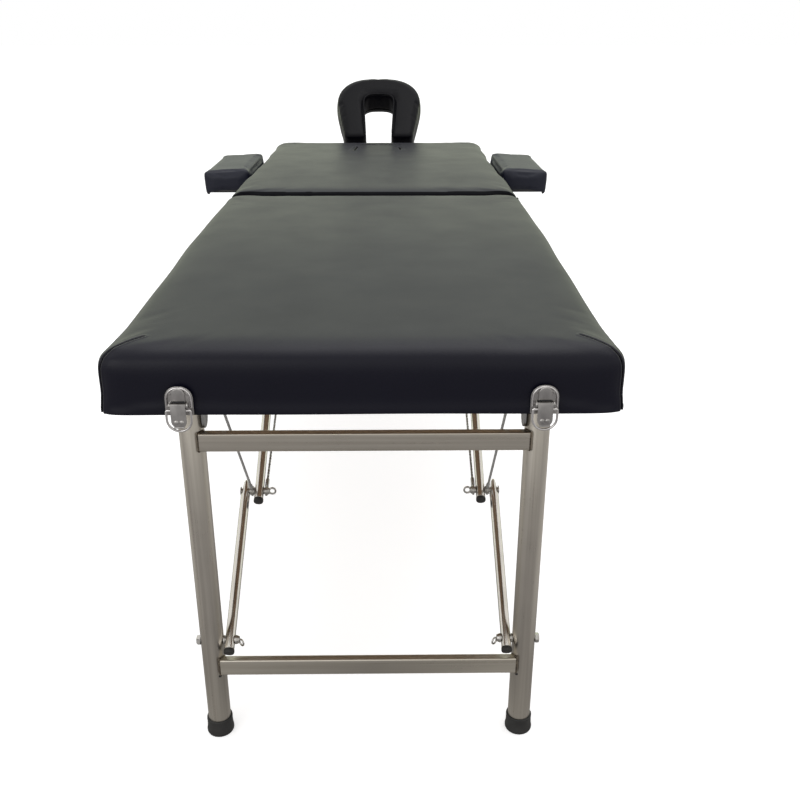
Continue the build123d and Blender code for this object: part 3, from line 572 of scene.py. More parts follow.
leg_steel = drawn_steel("leg_steel", (0.55, 0.515, 0.46), (0.47, 0.435, 0.385), 0.3, (260, 260, 2.5))
bar_steel = drawn_steel("crossbar_steel", (0.63, 0.59, 0.52), (0.54, 0.5, 0.43), 0.3, (2.5, 260, 260))
link_chrome = drawn_steel("link_chrome", (0.8, 0.77, 0.73), (0.7, 0.67, 0.63), 0.12, (60, 30, 30), 0.4)
bolt_steel = drawn_steel("bolt_steel", (0.6, 0.59, 0.57), (0.42, 0.4, 0.38), 0.28, (150, 150, 150))
latch_nickel = drawn_steel("latch_nickel", (0.5, 0.485, 0.475), (0.37, 0.36, 0.355), 0.32, (90, 90, 40), 0.5)
latch_wire = drawn_steel("latch_wire", (0.78, 0.76, 0.76), (0.6, 0.58, 0.58), 0.2, (90, 90, 40), 0.5)
bracket_zinc = drawn_steel("bracket_zinc", (0.42, 0.42, 0.42), (0.3, 0.3, 0.3), 0.38, (80, 300, 80))
cable_steel = drawn_steel("cable_steel", (0.62, 0.62, 0.62), (0.4, 0.4, 0.4), 0.35, (200, 200, 200))
rod_chrome = drawn_steel("rod_chrome", (0.75, 0.75, 0.74), (0.62, 0.62, 0.61), 0.14, (40, 40, 40), 0.3)

weld = Finish("weld_bead", (0.12, 0.1, 0.08), 0.45, metallic=0.9)
weld.color_from(weld.colors(weld.noise(300, 3), [(0.35, (0.05, 0.04, 0.035)), (0.7, (0.3, 0.25, 0.19))]))
weld.bumps((weld.noise(500, 3), 0.6, 0.5))
weld_bead = weld.material

# %% [markdown]
# Rubber and plastic are nearly black and matt. Plywood shows its face grain and, on the sawn edge, its layers.

# %% Rubber, plastic and wood materials
rubber = Finish("black_rubber", (0.012, 0.012, 0.012), 0.62)
rubber.color_from(rubber.colors(rubber.noise(60, 4), [(0.3, (0.01, 0.01, 0.01)), (0.8, (0.024, 0.023, 0.022))]))
rubber.bumps((rubber.noise(900, 3), 0.25, 0.15))
black_rubber = rubber.material

plastic = Finish("black_plastic", (0.015, 0.015, 0.016), 0.4)
plastic.roughness_from(plastic.ranged(plastic.noise(90, 3), 0.3, 0.7, 0.34, 0.5))
plastic.bumps((plastic.cells(1400), 0.12, 0.1))
black_plastic = plastic.material


def wood_finish(name, pale, dark, stretch):
    roughness = 0.55
    finish = Finish(name, pale, roughness)
    grain = finish.noise(1, 6, 0.65, finish.stretched(stretch))
    wide = finish.noise(6, 3)
    streaks = finish.colors(grain, [(0.32, dark), (0.6, pale)])
    finish.color_from(finish.mixed(streaks, tuple(0.8 * c for c in pale), finish.ranged(wide, 0.4, 0.7, 0.0, 0.5)))
    finish.roughness_from(finish.ranged(grain, 0.3, 0.7, roughness - 0.08, roughness + 0.1))
    finish.bumps((grain, 0.2, 0.3))
    return finish.material


plywood = wood_finish("birch_plywood", (0.26, 0.175, 0.11), (0.17, 0.105, 0.062), (40, 3, 260))
rail_wood = wood_finish("beech_rail", (0.22, 0.145, 0.09), (0.14, 0.085, 0.05), (30, 30, 60))
print("materials:", len(bpy.data.materials))

# %% [markdown]
# A cushion of this table is firm foam under a tight cover. The blank is a block whose upright corners and top
# edges are rounded. A voxel remesh turns it into an even cloth, and a short cloth simulation with pressure lets
# the cover swell over the foam. How far a point may move is capped, so the top stays flat enough to lie on.

# %% Cloth helper
def swell(piece, voxel, pressure, cap, held=None, frames=16):
    """Remeshes the piece, lets it swell as cloth, and caps how far each point moves."""
    apply(piece, "REMESH", mode="VOXEL", voxel_size=voxel * MM, use_smooth_shade=True)
    apply(piece, "CORRECTIVE_SMOOTH", factor=0.5, iterations=3, use_only_smooth=True)
    rest = [v.co.copy() for v in piece.data.vertices]
    group = piece.vertex_groups.new(name="held")
    pinned = [v.index for v in piece.data.vertices if held and held(drawn(v.co))]
    group.add(pinned, 1.0, "REPLACE")
    only(piece)
    cloth = piece.modifiers.new("Cloth", "CLOTH")
    settings = cloth.settings
    settings.quality = 4
    settings.use_pressure = True
    settings.uniform_pressure_force = pressure
    settings.tension_stiffness = 20
    settings.compression_stiffness = 20
    settings.bending_stiffness = 2
    settings.effector_weights.gravity = 0
    settings.vertex_group_mass = "held"
    cloth.collision_settings.use_collision = False
    cloth.point_cache.frame_start = 1
    cloth.point_cache.frame_end = frames
    scene = bpy.context.scene
    for step in range(1, frames + 1):
        scene.frame_set(step)
    bpy.ops.object.modifier_apply(modifier=cloth.name)
    scene.frame_set(1)
    farthest = 0.0
    for vertex, home in zip(piece.data.vertices, rest):
        move = vertex.co - home
        if move.length > cap * MM:
            move *= cap * MM / move.length
        vertex.co = home + move
        farthest = max(farthest, move.length)
    piece.vertex_groups.clear()
    print(piece.name, "swelled by up to", round(farthest / MM, 1), "mm over", len(rest), "points")
    return piece


# %% [markdown]
# Each half's cover goes over the foam and down around the wooden frame, in one piece. So the blank reaches from
# the rails' underside to the top, and after the simulation the frame's space is cut out of it from below with a
# Boolean. The corner seams are pressed in afterwards, where the mesh is made finer along each seam's line.

# %% Table cushions
def on_rim(place, corner):
    """True for an edge on the outline of one half's top."""
    from_side = half_width - 0.5 - abs(place.x)
    from_end = min(half_length - 0.5 - abs(place.y), abs(place.y) - 1)
    return from_side < 0.1 or from_end < 0.1 or (from_side < corner and from_end < corner)


def cushion_blank(name, end, corner):
    near_y, far_y = 1.0, half_length - 0.5
    low = rail_bottom - 12  # a margin below the rails, cut off again after the cloth
    piece = block(
        name, (2 * half_width - 1, far_y - near_y, table_top - 1 - low),
        (0, end * (near_y + far_y) / 2, (table_top - 1 + low) / 2),
    )
    outer = lambda m, a: abs(a.z) > 0.9 and abs(m.y) > half_length / 2
    round_edges(piece, outer, corner, 10)
    inner = lambda m, a: abs(a.z) > 0.9 and abs(m.y) < 10
    round_edges(piece, inner, crease_corner, 7)
    round_edges(piece, lambda m, a: m.z > table_top - 2 and on_rim(m, corner), top_round, 6)
    return piece


near_blank = cushion_blank("near_padded_top", -1, foot_corner)
far_blank = cushion_blank("far_padded_top", 1, head_corner)
print("blanks:", len(near_blank.data.polygons), len(far_blank.data.polygons))

# %% [markdown]
# The foam is a little higher towards the crease. The cover stands a few millimetres proud of the frame and waves
# gently along its sides, as a cover does that is stapled by hand. That is a small move of the cover's points.

# %% Crown and waves of the covers
crease_crown, middle_crown = 12.5, 5.0
crease_rounding = 10.0
near_fullness, far_fullness, fullness_beside_pads = 9.0, 8.0, 1.5


def ease(share):
    share = max(0.0, min(1.0, share))
    return share * share * (3 - 2 * share)


def crease_drop(depth, radius):
    """How far a rounded edge lies below the flat, at a depth from the wall."""
    return radius - sqrt(radius**2 - (radius - depth) ** 2) if depth < radius else 0.0


def stands_out(y, end):
    """How far the cover's sides stand proud of the frame. Beside the arm pads there is hardly room for it."""
    if end < 0:
        return near_fullness
    beside_pads = ease((y - 200) / 80) * (1 - ease((y - 600) / 80))
    return far_fullness - (far_fullness - fullness_beside_pads) * beside_pads


def shape_cover(piece, end):
    for vertex in piece.data.vertices:
        place = drawn(vertex.co)
        along = abs(place.y) / half_length
        side = 1 if place.x > 0 else -1
        draw = sin(pi * min(along, 1)) ** 2
        crown = crease_crown * (1 - ease((abs(place.y) - 80) / 820)) + middle_crown * draw
        vertex.co.z += crown * ease((place.z - deck_top) / 45) * MM
        depth = max(abs(place.y) - 1, 0.5)
        if depth < top_round:
            tighter = crease_drop(depth, top_round) - crease_drop(depth, crease_rounding)
            fade = (1 - ease((abs(place.x) - 250) / 30)) * ease((place.z - table_top + 50) / 30)
            vertex.co.z += tighter * fade * MM
        wave = 0.9 * sin(place.y / 41 + (1 if side > 0 else 3)) + 0.7 * sin(place.y / 97 + 2)
        flare = 5.0 * ease((along - 0.86) / 0.12)
        if abs(place.x) > half_width - 60:
            share = (abs(place.x) - (half_width - 60)) / 60
            vertex.co.x -= side * share * ((1.5 + wave) * draw - flare - stands_out(abs(place.y), end)) * MM
        if abs(place.y) > half_length - 30:
            share = (abs(place.y) - (half_length - 30)) / 30
            across = cos(place.x / half_width * pi / 2)
            vertex.co.y -= end * share * (1.2 * across + 0.6 * sin(place.x / 45)) * MM
    piece.data.update()
    return piece


def make_top(piece, end):
    swell(piece, voxel=7, pressure=5, cap=3.0, held=lambda p: p.z < rail_bottom + 4)
    return shape_cover(piece, end)


near_top = make_top(near_blank, -1)
far_top = make_top(far_blank, 1)

# %% Cut the frame's space out of each cover
def hollow_for_frame(piece, end, corner):
    apply(piece, "SUBSURF", levels=1, render_levels=1)
    below = block("below_rails", (800, 1200, 60), (0, end * half_length / 2, rail_bottom - 0.5 - 30))
    cut_away(piece, below)
    space = block(
        "frame_space", (2 * frame_half_width, frame_reach - 3.5, 2 * (deck_top - rail_bottom)),
        (0, end * (frame_reach + 3.5) / 2, rail_bottom),
    )
    outer = lambda m, a: abs(a.z) > 0.9 and abs(m.y) > half_length / 2
    round_edges(space, outer, corner - 8, 8)
    return cut_away(piece, space)


hollow_for_frame(near_top, -1, foot_corner)
hollow_for_frame(far_top, 1, head_corner)

# %% [markdown]
# Where the cover folds over a corner, the spare cloth is cut away and sewn: a seam runs from the flat top over
# the corner and down the upright edge. `sew` makes the mesh finer near a seam's line, presses the line in, and
# stores how near each point is in an attribute. The cover's finish reads it to darken the line: a dark seam
# line, and painted shade where the same helper presses in tucks.

# %% Seam helper
def laid_on(piece, line):
    """The line's places, and some between them, each moved to the nearest place on the cover."""
    corners = [Vector(corner) for corner in line]
    places = [first.lerp(last, step / 3) for first, last in zip(corners, corners[1:]) for step in range(3)]
    places.append(corners[-1])
    return [drawn(piece.closest_point_on_mesh(spot(*place))[1]) for place in places]


def distance_to_line(point, line, reach):
    """How far a place is from a line. Places that are clearly out of reach aren't measured."""
    best = far_away = 1e9
    middle = (line[0] + line[-1]) / 2
    if (point - middle).length > (line[0] - line[-1]).length + reach:
        return far_away
    for first, last in zip(line, line[1:]):
        along = last - first
        share = max(0.0, min(1.0, (point - first).dot(along) / along.length_squared))
        best = min(best, (point - first - along * share).length)
    return best


def sew(piece, lines, wide, depth, finer=2):
    """Lines are lists of drawing places. The cover is pressed in along them."""
    paths = [laid_on(piece, line) for line in lines]
    reach = 4 * wide
    for step in range(finer):
        edit(piece)
        margin = reach * (2 if step == 0 else 1.2)
        pick(piece, "FACE", lambda m, n: any(distance_to_line(m, path, margin) < margin for path in paths))
        bpy.ops.mesh.subdivide(number_cuts=1, smoothness=0, quadcorner="INNERVERT")
        leave()
    mesh = piece.data
    # This attribute darkens the cover: a dark seam line, and painted shade where tucks are pressed in.
    layer = mesh.attributes.get("seam_and_fold_shade") or mesh.attributes.new("seam_and_fold_shade", "FLOAT", "POINT")
    normals = [v.normal.copy() for v in mesh.vertices]
    for index, vertex in enumerate(mesh.vertices):
        near = min(distance_to_line(drawn(vertex.co), path, reach) for path in paths)
        if near < reach:
            valley = max(0.0, 1 - near / wide)
            swell_up = max(0.0, 1 - abs(near - 2 * wide) / (1.6 * wide))
            vertex.co -= normals[index] * (depth * valley**0.8 - 0.35 * depth * swell_up) * MM
            layer.data[index].value = max(layer.data[index].value, min(1.0, 1.3 * valley))
    mesh.update()
    return piece


foot_edge = -half_length
corner_seams = [
    [
        (side * 260, foot_edge + 54, table_top - 1), (side * 282, foot_edge + 31, table_top - 4),
        (side * 299, foot_edge + 15, table_top - 14), (side * 310, foot_edge + 6, table_top - 30),
        (side * 311, foot_edge + 5, rail_bottom),
    ]
    for side in (-1, 1)
]
sew(near_top, corner_seams, 1.8, 1.6)
head_edge = half_length
head_seams = [
    [
        (side * 246, head_edge - 60, table_top - 1), (side * 272, head_edge - 36, table_top - 4),
        (side * 290, head_edge - 21, table_top - 14), (side * 300, head_edge - 12, table_top - 30),
        (side * 301, head_edge - 11, rail_bottom),
    ]
    for side in (-1, 1)
]
# Two tucks and a shallow dip across the head end. Their darkened bottoms are painted shade.
tucks = [
    [(-66, head_edge - 262, table_top), (-60, head_edge - 150, table_top)],
    [(64, head_edge - 236, table_top), (61, head_edge - 168, table_top)],
    [(-58, head_edge - 96, table_top), (0, head_edge - 84, table_top), (62, head_edge - 100, table_top)],
]
sew(far_top, head_seams, 1.8, 1.6)
sew(far_top, tucks[:2], 4.0, 4.0, finer=1)
sew(far_top, tucks[2:], 9.0, 2.0, finer=0)


def paint_fold_shade(piece):
    """Painted shade: the bottoms of seams and tucks, and the faces that press together at the crease, get the darker
    fold finish.
    """
    fold_shade_mask = [point.value for point in piece.data.attributes["seam_and_fold_shade"].data]
    piece.data.materials.append(painted_fold_shade)
    for face in piece.data.polygons:
        depth = sum(fold_shade_mask[index] for index in face.vertices) / len(face.vertices)
        y = drawn(face.center).y
        leans = -face.normal.y if y > 0 else face.normal.y
        face.material_index = int(depth > 0.5 or (abs(y) < 24 and leans > 0.2))


for piece, body, nodes in (
    (near_top, "near_half", ("near_cushion", "near_border")),
    (far_top, "far_half", ("far_cushion", "far_border")),
):
    give(piece, table_cover)
    paint_fold_shade(piece)
    fit(piece, body, nodes, "cover", 60)

# %% [markdown]
# The legs are round tubes with open tops, and the crossbars are flat tubes welded to them. A crossbar's end is cut
# to the leg's curve with a Boolean, and a thin weld bead covers the joint. One frame is modelled at the near end
# and mirrored to the far end.

# %% Leg tubes
leg_sides = 56


def leg_tube(side):
    top = pivot_height + 5
    tube = turned(
        "leg_tube", [(10, leg_radius), (top - 1, leg_radius), (top, leg_radius - 0.6), (top, leg_radius - 1.5)],
        (side * leg_x, -leg_y, 0), sides=leg_sides,
    )
    edit(tube)
    pick(tube, "FACE", lambda m, n: n.z > 0.9 and m.z > top - 0.1 and (m.x - side * leg_x) ** 2 < 1)
    extrude(0, 0, -40)
    leave()
    return tube


near_legs = pair("near_leg_tubes", leg_tube, leg_steel)

# %% Crossbars with coped ends and weld beads
bar_depth, bar_width = 12.5, 25.0
bar_y = -(leg_y + leg_radius - bar_depth / 2 + 1.5)
bar_heights = (472.5, 123.5)
bar_seat = 10.0


def crossbar(height):
    bar = block("crossbar", (2 * (leg_x - bar_seat), bar_depth, bar_width), (0, bar_y, height))
    round_edges(bar, lambda m, a: abs(a.x) > 0.9, 2.2, 4)
    for side in (-1, 1):
        cope = [(height - 30, leg_radius - 0.1), (height + 30, leg_radius - 0.1)]
        cut_away(bar, turned("cope", cope, (side * leg_x, -leg_y, 0), sides=leg_sides))
    return give(bar, bar_steel)


def bead_round(height, side):
    """The bead follows the bar's section where it meets the leg."""
    points = []
    for y, z in ((-6.3, -12.6), (-6.3, 12.6), (6.3, 12.6), (6.3, -12.6)):
        depth = leg_y + bar_y + y
        reach = max(bar_seat, sqrt(max(leg_radius**2 - depth**2, 0)))
        points.append((side * (leg_x - reach - 0.4), bar_y + y, height + z))
    return give(wire("weld", points, 1.5, 1.1, closed=True, rings=3), weld_bead)


bars = [crossbar(height) for height in bar_heights]
beads = [bead_round(height, side) for height in bar_heights for side in (-1, 1)]
holes = []
for side in (-1, 1):
    place = (side * (leg_x - 9), -(leg_y + 12.9), bar_heights[1] - 17)
    hole = turned("drain_hole", [(0, 2.4), (0.6, 2.3)], place, (-side * 0.56, -0.83, 0), sides=24)
    holes.append(give(hole, black_plastic))
near_bars = joined("near_crossbar_pair", bars + beads + holes)


# %% [markdown]
# The feet are moulded rubber caps: a wider sole with a rounded edge, a faint step, and a rolled upper lip that
# grips the tube.

# %% Rubber feet
def foot(side):
    stations = [
        (0, 16.5), (0.5, 18.4), (2.2, 19.2), (5, 19.4), (7, 19.0), (8.5, 18.5), (20, 18.1), (23, 18.4), (25, 18.2),
        (26, 17.2), (26.1, 16.1),
    ]
    return turned("foot", stations, (side * leg_x, -leg_y, 0), sides=48)


near_feet = pair("near_rubber_feet", foot, black_rubber)

# %% [markdown]
# Bolts, nuts and washers are turned with six sides or forty. A thumb nut is a short cone with a round eye on it.

# %% Bolts and nuts
bolt_radius, bolt_head, nut_radius, nut_depth = 4.0, 7.0, 6.4, 5.5
lug_x, lug_radius, lug_thickness = 183.8, 8.0, 2.6


def hex_head(x, y, z, side, across):
    stations = [(0, across), (nut_depth - 1, across), (nut_depth, across - 1)]
    return turned("hex", stations, (x, y, z), (side, 0, 0), sides=6, turn=0.3)


def washer(x, y, z, side, radius, thickness):
    return rod("washer", thickness, radius, 0.3, (x, y, z), (side, 0, 0))


def cable_lug(x, y, z, side):
    return washer(x, y, z, side, lug_radius, lug_thickness)


def shank(x_from, x_to, y, z, radius):
    length = abs(x_to - x_from)
    side = 1 if x_to > x_from else -1
    return turned("shank", [(0, radius), (length - 0.5, radius), (length, radius - 0.5)], (x_from, y, z), (side, 0, 0))


def ring(x, y, z, reach, thick, lean=0.0):
    """A round eye, as thumb nuts have instead of wings, standing along the bolt or leaning away from the links."""
    deselect()
    bpy.ops.mesh.primitive_torus_add(
        major_radius=reach * MM, minor_radius=thick * MM, major_segments=32, minor_segments=12,
        location=spot(x, y, z), rotation=(pi / 2, 0, lean),
    )
    return settle(named("ring"))


def link_bolt(side):
    y, z = -leg_y, link_joint_height
    outer = side * (leg_x + leg_radius)
    parts = [
        hex_head(outer, y, z, side, bolt_head),
        washer(side * (leg_x - leg_radius), y, z, -side, nut_radius, 1.6),
        shank(outer, side * 180.2, y, z, bolt_radius),
        turned("hub", [(0, nut_radius), (1.5, nut_radius), (5.5, 4.8)], (side * 185.6, y, z), (-side, 0, 0)),
        ring(side * 176.3, y - 6.3, z, 4.6, 1.3, lean=side * pi / 4),
    ]
    return joined("link_bolt", parts)


near_link_bolts = pair("near_link_bolt_pair", link_bolt, bolt_steel)

# %% The near leg frame, and its mirror image at the far end
both_ends(near_legs, "leg_frame", "legs", "leg_steel")
both_ends(near_bars, "leg_frame", "crossbars", "leg_steel")
both_ends(near_feet, "leg_frame", "feet", "rubber")
both_ends(near_link_bolts, "leg_frame", "link_bolts", "hardware")

# %% [markdown]
# A link is a thin chromed tube. Its line slopes from the leg up towards the crease. The lower link's upper end is
# pressed narrower and rounded over the elbow bolt, and black plugs close the lower ends.

# %% Folding links
toward_crease = (0, cos(link_slope), sin(link_slope))


def lower_link(side):
    stations = [(-14, 6.4)] + [(distance, link_radius) for distance in (-13.4, 232, 240, 248)]
    tube = turned("lower_link", stations + [(254, 6.2), (257, 4.2)], (0, 0, 0), sides=48)
    edit(tube)
    for start, flat in ((234, 0.8), (244, 0.78), (250, 0.9)):
        pick(tube, "VERT", lambda m, n: m.z > start)
        bpy.ops.transform.resize(value=(flat, 1.05, 1), center_override=spot(0, 0, 0))
    leave()
    return tipped(tube, -(pi / 2 - link_slope), (side * lower_link_x, -leg_y, link_joint_height))


def plug(side, x, y, z):
    stations = [(-14.2, 6.9), (-15, 7.4), (-18.5, 7.5), (-20, 6.9), (-20.6, 5.2)]
    return turned("plug", stations[::-1], (side * x, y, z), toward_crease, sides=40)


near_lower_links = pair("near_lower_link_tubes", lower_link, link_chrome)
near_lower_plugs = pair(
    "near_lower_plugs", lambda side: plug(side, lower_link_x, -leg_y, link_joint_height), black_rubber
)


def upper_link(side):
    end = upper_link_length + 8
    stations = [(-14, 6.4), (-13.4, link_radius), (end - 0.6, link_radius), (end, 6.2)]
    return turned("upper_link", stations, (side * upper_link_x, -elbow_y, elbow_height), toward_crease, sides=48)


near_upper_links = pair("near_upper_link_tubes", upper_link, link_chrome)
near_upper_plugs = pair("near_upper_plugs", lambda side: plug(side, upper_link_x, -elbow_y, elbow_height), black_rubber)

# %% Elbow bolts and ring nuts
def elbow_bolt(side):
    y, z = -elbow_y, elbow_height
    outer = side * (lower_link_x + link_radius)
    parts = [
        turned("low_head", [(0, 7), (0.6, 6.8), (1.2, 5.4), (1.4, 3)], (outer, y, z), (side, 0, 0)),
        shank(outer, side * 179.3, y, z, bolt_radius),
        washer(side * 186, y, z, -side, 6.6, 2.1),
        cable_lug(side * lug_x, y, z, -side),
        washer(side * 181.1, y, z, -side, 6.0, 1.7),
    ]
    return joined("elbow_bolt", parts)


def ring_nut(side):
    y, z = -elbow_y, elbow_height
    spacer = washer(side * 165, y, z, -side, 5.4, 2.5)
    lug = cable_lug(side * (crease_cable_x + lug_thickness / 2), y, z, -side)
    nut_x = crease_cable_x - lug_thickness / 2
    hub = turned("ring_hub", [(0, nut_radius), (1.2, nut_radius), (4.0, 4.4)], (side * nut_x, y, z), (-side, 0, 0))
    return joined("ring_nut", [hub, ring(side * (nut_x - 8), y, z, 5.0, 1.5), spacer, lug])


near_elbow_bolts = pair("near_elbow_bolt_pair", elbow_bolt, bolt_steel)
near_ring_nuts = pair("near_ring_nut_pair", ring_nut, bolt_steel)

# %% Links on their bodies, near and far
both_ends(near_lower_links, "lower_link_pair", "lower_links", "link_chrome")
both_ends(near_lower_plugs, "lower_link_pair", "lower_link_plugs", "rubber")
both_ends(near_elbow_bolts, "lower_link_pair", "elbow_bolts", "hardware")
both_ends(near_upper_links, "upper_link_pair", "upper_links", "link_chrome")
both_ends(near_upper_plugs, "upper_link_pair", "upper_link_plugs", "rubber")
both_ends(near_ring_nuts, "upper_link_pair", "ring_nuts", "hardware")

# %% [markdown]
# The bracing cables are six wires twisted together, four millimetres thick, with a pressed ferrule at each end.
# Six thin cylinders are twisted with an applied Simple Deform. When the legs fold, a real cable goes slack.

# %% Bracing cables
def stranded(length, wires=6, radius=2.0, lay=26.0):
    strand_radius = radius / 3
    parts = []
    for index in range(wires):
        turn = 2 * pi * index / wires
        deselect()
        bpy.ops.mesh.primitive_cylinder_add(vertices=6, radius=strand_radius * 1.06 * MM, depth=length * MM)
        strand = named("strand")
        edit(strand)
        pick(strand, "EDGE", lambda m, a: abs(a.z) > 0.9)
        bpy.ops.mesh.subdivide(number_cuts=int(length / 2.6))
        leave()
        strand.location = Vector((cos(turn), sin(turn), 0)) * (radius - strand_radius) * MM
        parts.append(settle(strand))
    cable = joined("cable", parts)
    apply(cable, "SIMPLE_DEFORM", deform_method="TWIST", deform_axis="Z", angle=2 * pi * length / lay)
    return cable


ferrule_start = 8.3


def cable_run(side, x, start, finish):
    """One cable between two places of the near half's side plane, with its ferrules."""
    first = Vector((side * x, *start))
    last = Vector((side * x, *finish))
    along = (last - first).normalized()
    length = (last - first).length - 2 * ferrule_start
    cable = aimed(stranded(length - 6), along, (first + last) / 2)
    stations = [(ferrule_start, 2.3), (9.3, 2.9), (14, 3.0), (19, 3.0), (23.3, 2.9), (24.3, 2.3)]
    sleeves = [
        turned("ferrule", stations, first, along, sides=24),
        turned("ferrule", stations, last, -along, sides=24),
    ]
    return joined("cable_run", [cable] + sleeves)


anchor_y, anchor_height = 47.5, rail_bottom - 13
elbow = (-elbow_y, elbow_height)
runs = (
    ("leg_cable_pair", "leg_cables", cable_x, (-leg_y, pivot_height), elbow),
    ("crease_cable_pair", "crease_cables", crease_cable_x, elbow, (-anchor_y, anchor_height)),
)
for name, node, x, start, finish in runs:
    cables = pair("near_" + name, lambda side: cable_run(side, x, start, finish), cable_steel)
    for piece, end in zip(both_ends(cables, "half", node, "cable"), ("near", "far")):
        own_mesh(piece)


# %% [markdown]
# The brackets are pressed steel: a plate screwed to the deck with ears that hold the pivots. An ear is a block
# whose lower corners are rounded to a half circle. Screws hold each plate.

# %% Brackets under the deck
bracket_wall = 3.0


def ear(x, y, top, low, half_wide):
    piece = block("ear", (bracket_wall, 2 * half_wide, top - low), (x, y, (top + low) / 2))
    round_edges(piece, lambda m, a: abs(a.x) > 0.9 and m.z < low + 1, half_wide - 0.05, 12)
    return soften(piece, 0.5, 2, 60)


def screw(x, y, z):
    head = turned("screw", [(0, 4.2), (1.0, 4.2), (2.0, 3.0), (2.4, 1.2)], (x, y, z), (0, 0, -1), sides=24)
    return cut_away(head, block("screw_slot", (1, 6, 1.6), (x, y, z - 2.4)))


def plate(width, length, x, y, top, corner=3.0):
    piece = block("plate", (width, length, bracket_wall), (x, y, top - bracket_wall / 2))
    round_edges(piece, lambda m, a: abs(a.z) > 0.9, corner, 4)
    return soften(piece, 0.4, 2, 60)


def leg_bracket(side):
    from_leg = leg_radius + 0.4 + bracket_wall / 2
    seat = rail_top - bracket_wall
    parts = [plate(60, 36, side * 216, -leg_y, rail_top)]
    parts.append(ear(side * (leg_x - from_leg), -leg_y, seat, pivot_height - 47, 13))
    parts.append(ear(side * (leg_x + from_leg), -leg_y, seat, pivot_height - 13, 13))
    parts += [screw(side * x, y, seat) for y in (-leg_y - 12, -leg_y + 12) for x in (191.5, 241.5)]
    return joined("leg_bracket", parts)


def pivot_bolt(side):
    y, z = -leg_y, pivot_height
    parts = [
        hex_head(side * 237.4, y, z, side, bolt_head),
        shank(side * 237.4, side * 175.7, y, z, bolt_radius),
        hex_head(side * 198.6, y, z, -side, nut_radius),
        cable_lug(side * lug_x, y, z, -side),
        hex_head(side * (lug_x - lug_thickness), y, z, -side, nut_radius),
    ]
    return joined("pivot_bolt", parts)


def brace_bracket(side):
    ear_offset, seat = 8.9, rail_top - bracket_wall
    parts = [plate(44.8, 40, side * upper_link_x, -brace_y, rail_top)]
    for offset in (-ear_offset, ear_offset):
        parts.append(ear(side * (upper_link_x + offset), -brace_y, seat, brace_height - 10, 10))
    inner_x, outer_x = (upper_link_x + way * (ear_offset + bracket_wall / 2) for way in (-1, 1))
    parts.append(shank(side * inner_x, side * outer_x, -brace_y, brace_height, bolt_radius))
    for x, way in ((inner_x, -1), (outer_x, 1)):
        stations = [(0, 6.2), (1.0, 5.6), (1.8, 4.0), (2.0, 2.0)]
        parts.append(turned("rivet", stations, (side * x, -brace_y, brace_height), (side * way, 0, 0), sides=24))
    parts += [screw(side * (upper_link_x + x), -brace_y + y, seat) for x in (-17, 17) for y in (-13, 13)]
    return joined("brace_bracket", parts)


near_leg_brackets = pair("near_leg_bracket_pair", leg_bracket, bracket_zinc)
near_pivot_bolts = pair("near_pivot_bolt_pair", pivot_bolt, bolt_steel)
near_brace_brackets = pair("near_brace_bracket_pair", brace_bracket, bracket_zinc)
both_ends(near_leg_brackets, "half", "leg_brackets", "bracket_steel")
both_ends(near_pivot_bolts, "half", "pivot_bolts", "hardware")
both_ends(near_brace_brackets, "half", "brace_brackets", "bracket_steel")

# %% [markdown]
# The two halves turn on butt hinges under the crease. A knuckle is a short turned barrel; the near leaf has the
# outer two and the pin, the far leaf the middle one. Behind each leaf hangs an eye for the cable.

# %% Crease hinges
hinge_x, hinge_axis = cable_x, rail_bottom - 7


def leaf(side, end, knuckles, with_pin):
    leaf_top = rail_bottom
    parts = [plate(84, 44, side * hinge_x, end * 30, leaf_top, 2.0)]
    for offset, length in knuckles:
        place = (side * hinge_x + offset - length / 2, 0, hinge_axis)
        parts.append(rod("knuckle", length, 6, 0.4, place, (1, 0, 0), sides=32))
        web = block("knuckle_web", (length, 13, 3), (side * hinge_x + offset, end * 6.5, leaf_top - 1.5))
        parts.append(soften(web, 0.3, 1))
    if with_pin:
        stations = [(0, 2.2), (0.6, 3.0), (87.4, 3.0), (88, 2.2)]
        parts.append(turned("pin", stations, (side * hinge_x - 44, 0, hinge_axis), (1, 0, 0), sides=24))
    for x in (-30, 0, 30):
        parts.append(screw(side * hinge_x + x, end * 26, leaf_top - bracket_wall))
    parts.append(ear(side * crease_cable_x, end * anchor_y, leaf_top - bracket_wall, leaf_top - 21, 8))
    rivet = [(0, 4.2), (0.8, 3.6), (1.4, 2.0)]
    for way in (-1, 1):
        place = (side * crease_cable_x + way * bracket_wall / 2, end * anchor_y, anchor_height)
        parts.append(turned("eyelet", rivet, place, (way, 0, 0), sides=24))
    return joined("leaf", parts)


outer_knuckles, middle_knuckle = ((-28.25, 27.5), (28.25, 27.5)), ((0, 28),)
near_leaves = pair("near_hinge_pair", lambda side: leaf(side, -1, outer_knuckles, True), bracket_zinc)
far_leaves = pair("far_hinge_pair", lambda side: leaf(side, 1, middle_knuckle, False), bracket_zinc)
fit(near_leaves, "near_half", ("near_hinge_leaves",), "bracket_steel")
fit(far_leaves, "far_half", ("far_hinge_leaves",), "bracket_steel")

# %% [markdown]
# A draw latch has three parts that move on each other: the base with its pressed boss and two ears, the lever
# with its round lower end, and the wire bail that would hook the catch on the other end when the table is folded.

# %% Draw latches
latch_x = 212.0
latch_back = half_length + 0.3
latch_front = latch_back + 2.0
latch_pivot_y = latch_front + 6.0
latch_pivot_z = rail_bottom + 15.0
bail_z = latch_pivot_z - 5.5
rim_reach = 14.4


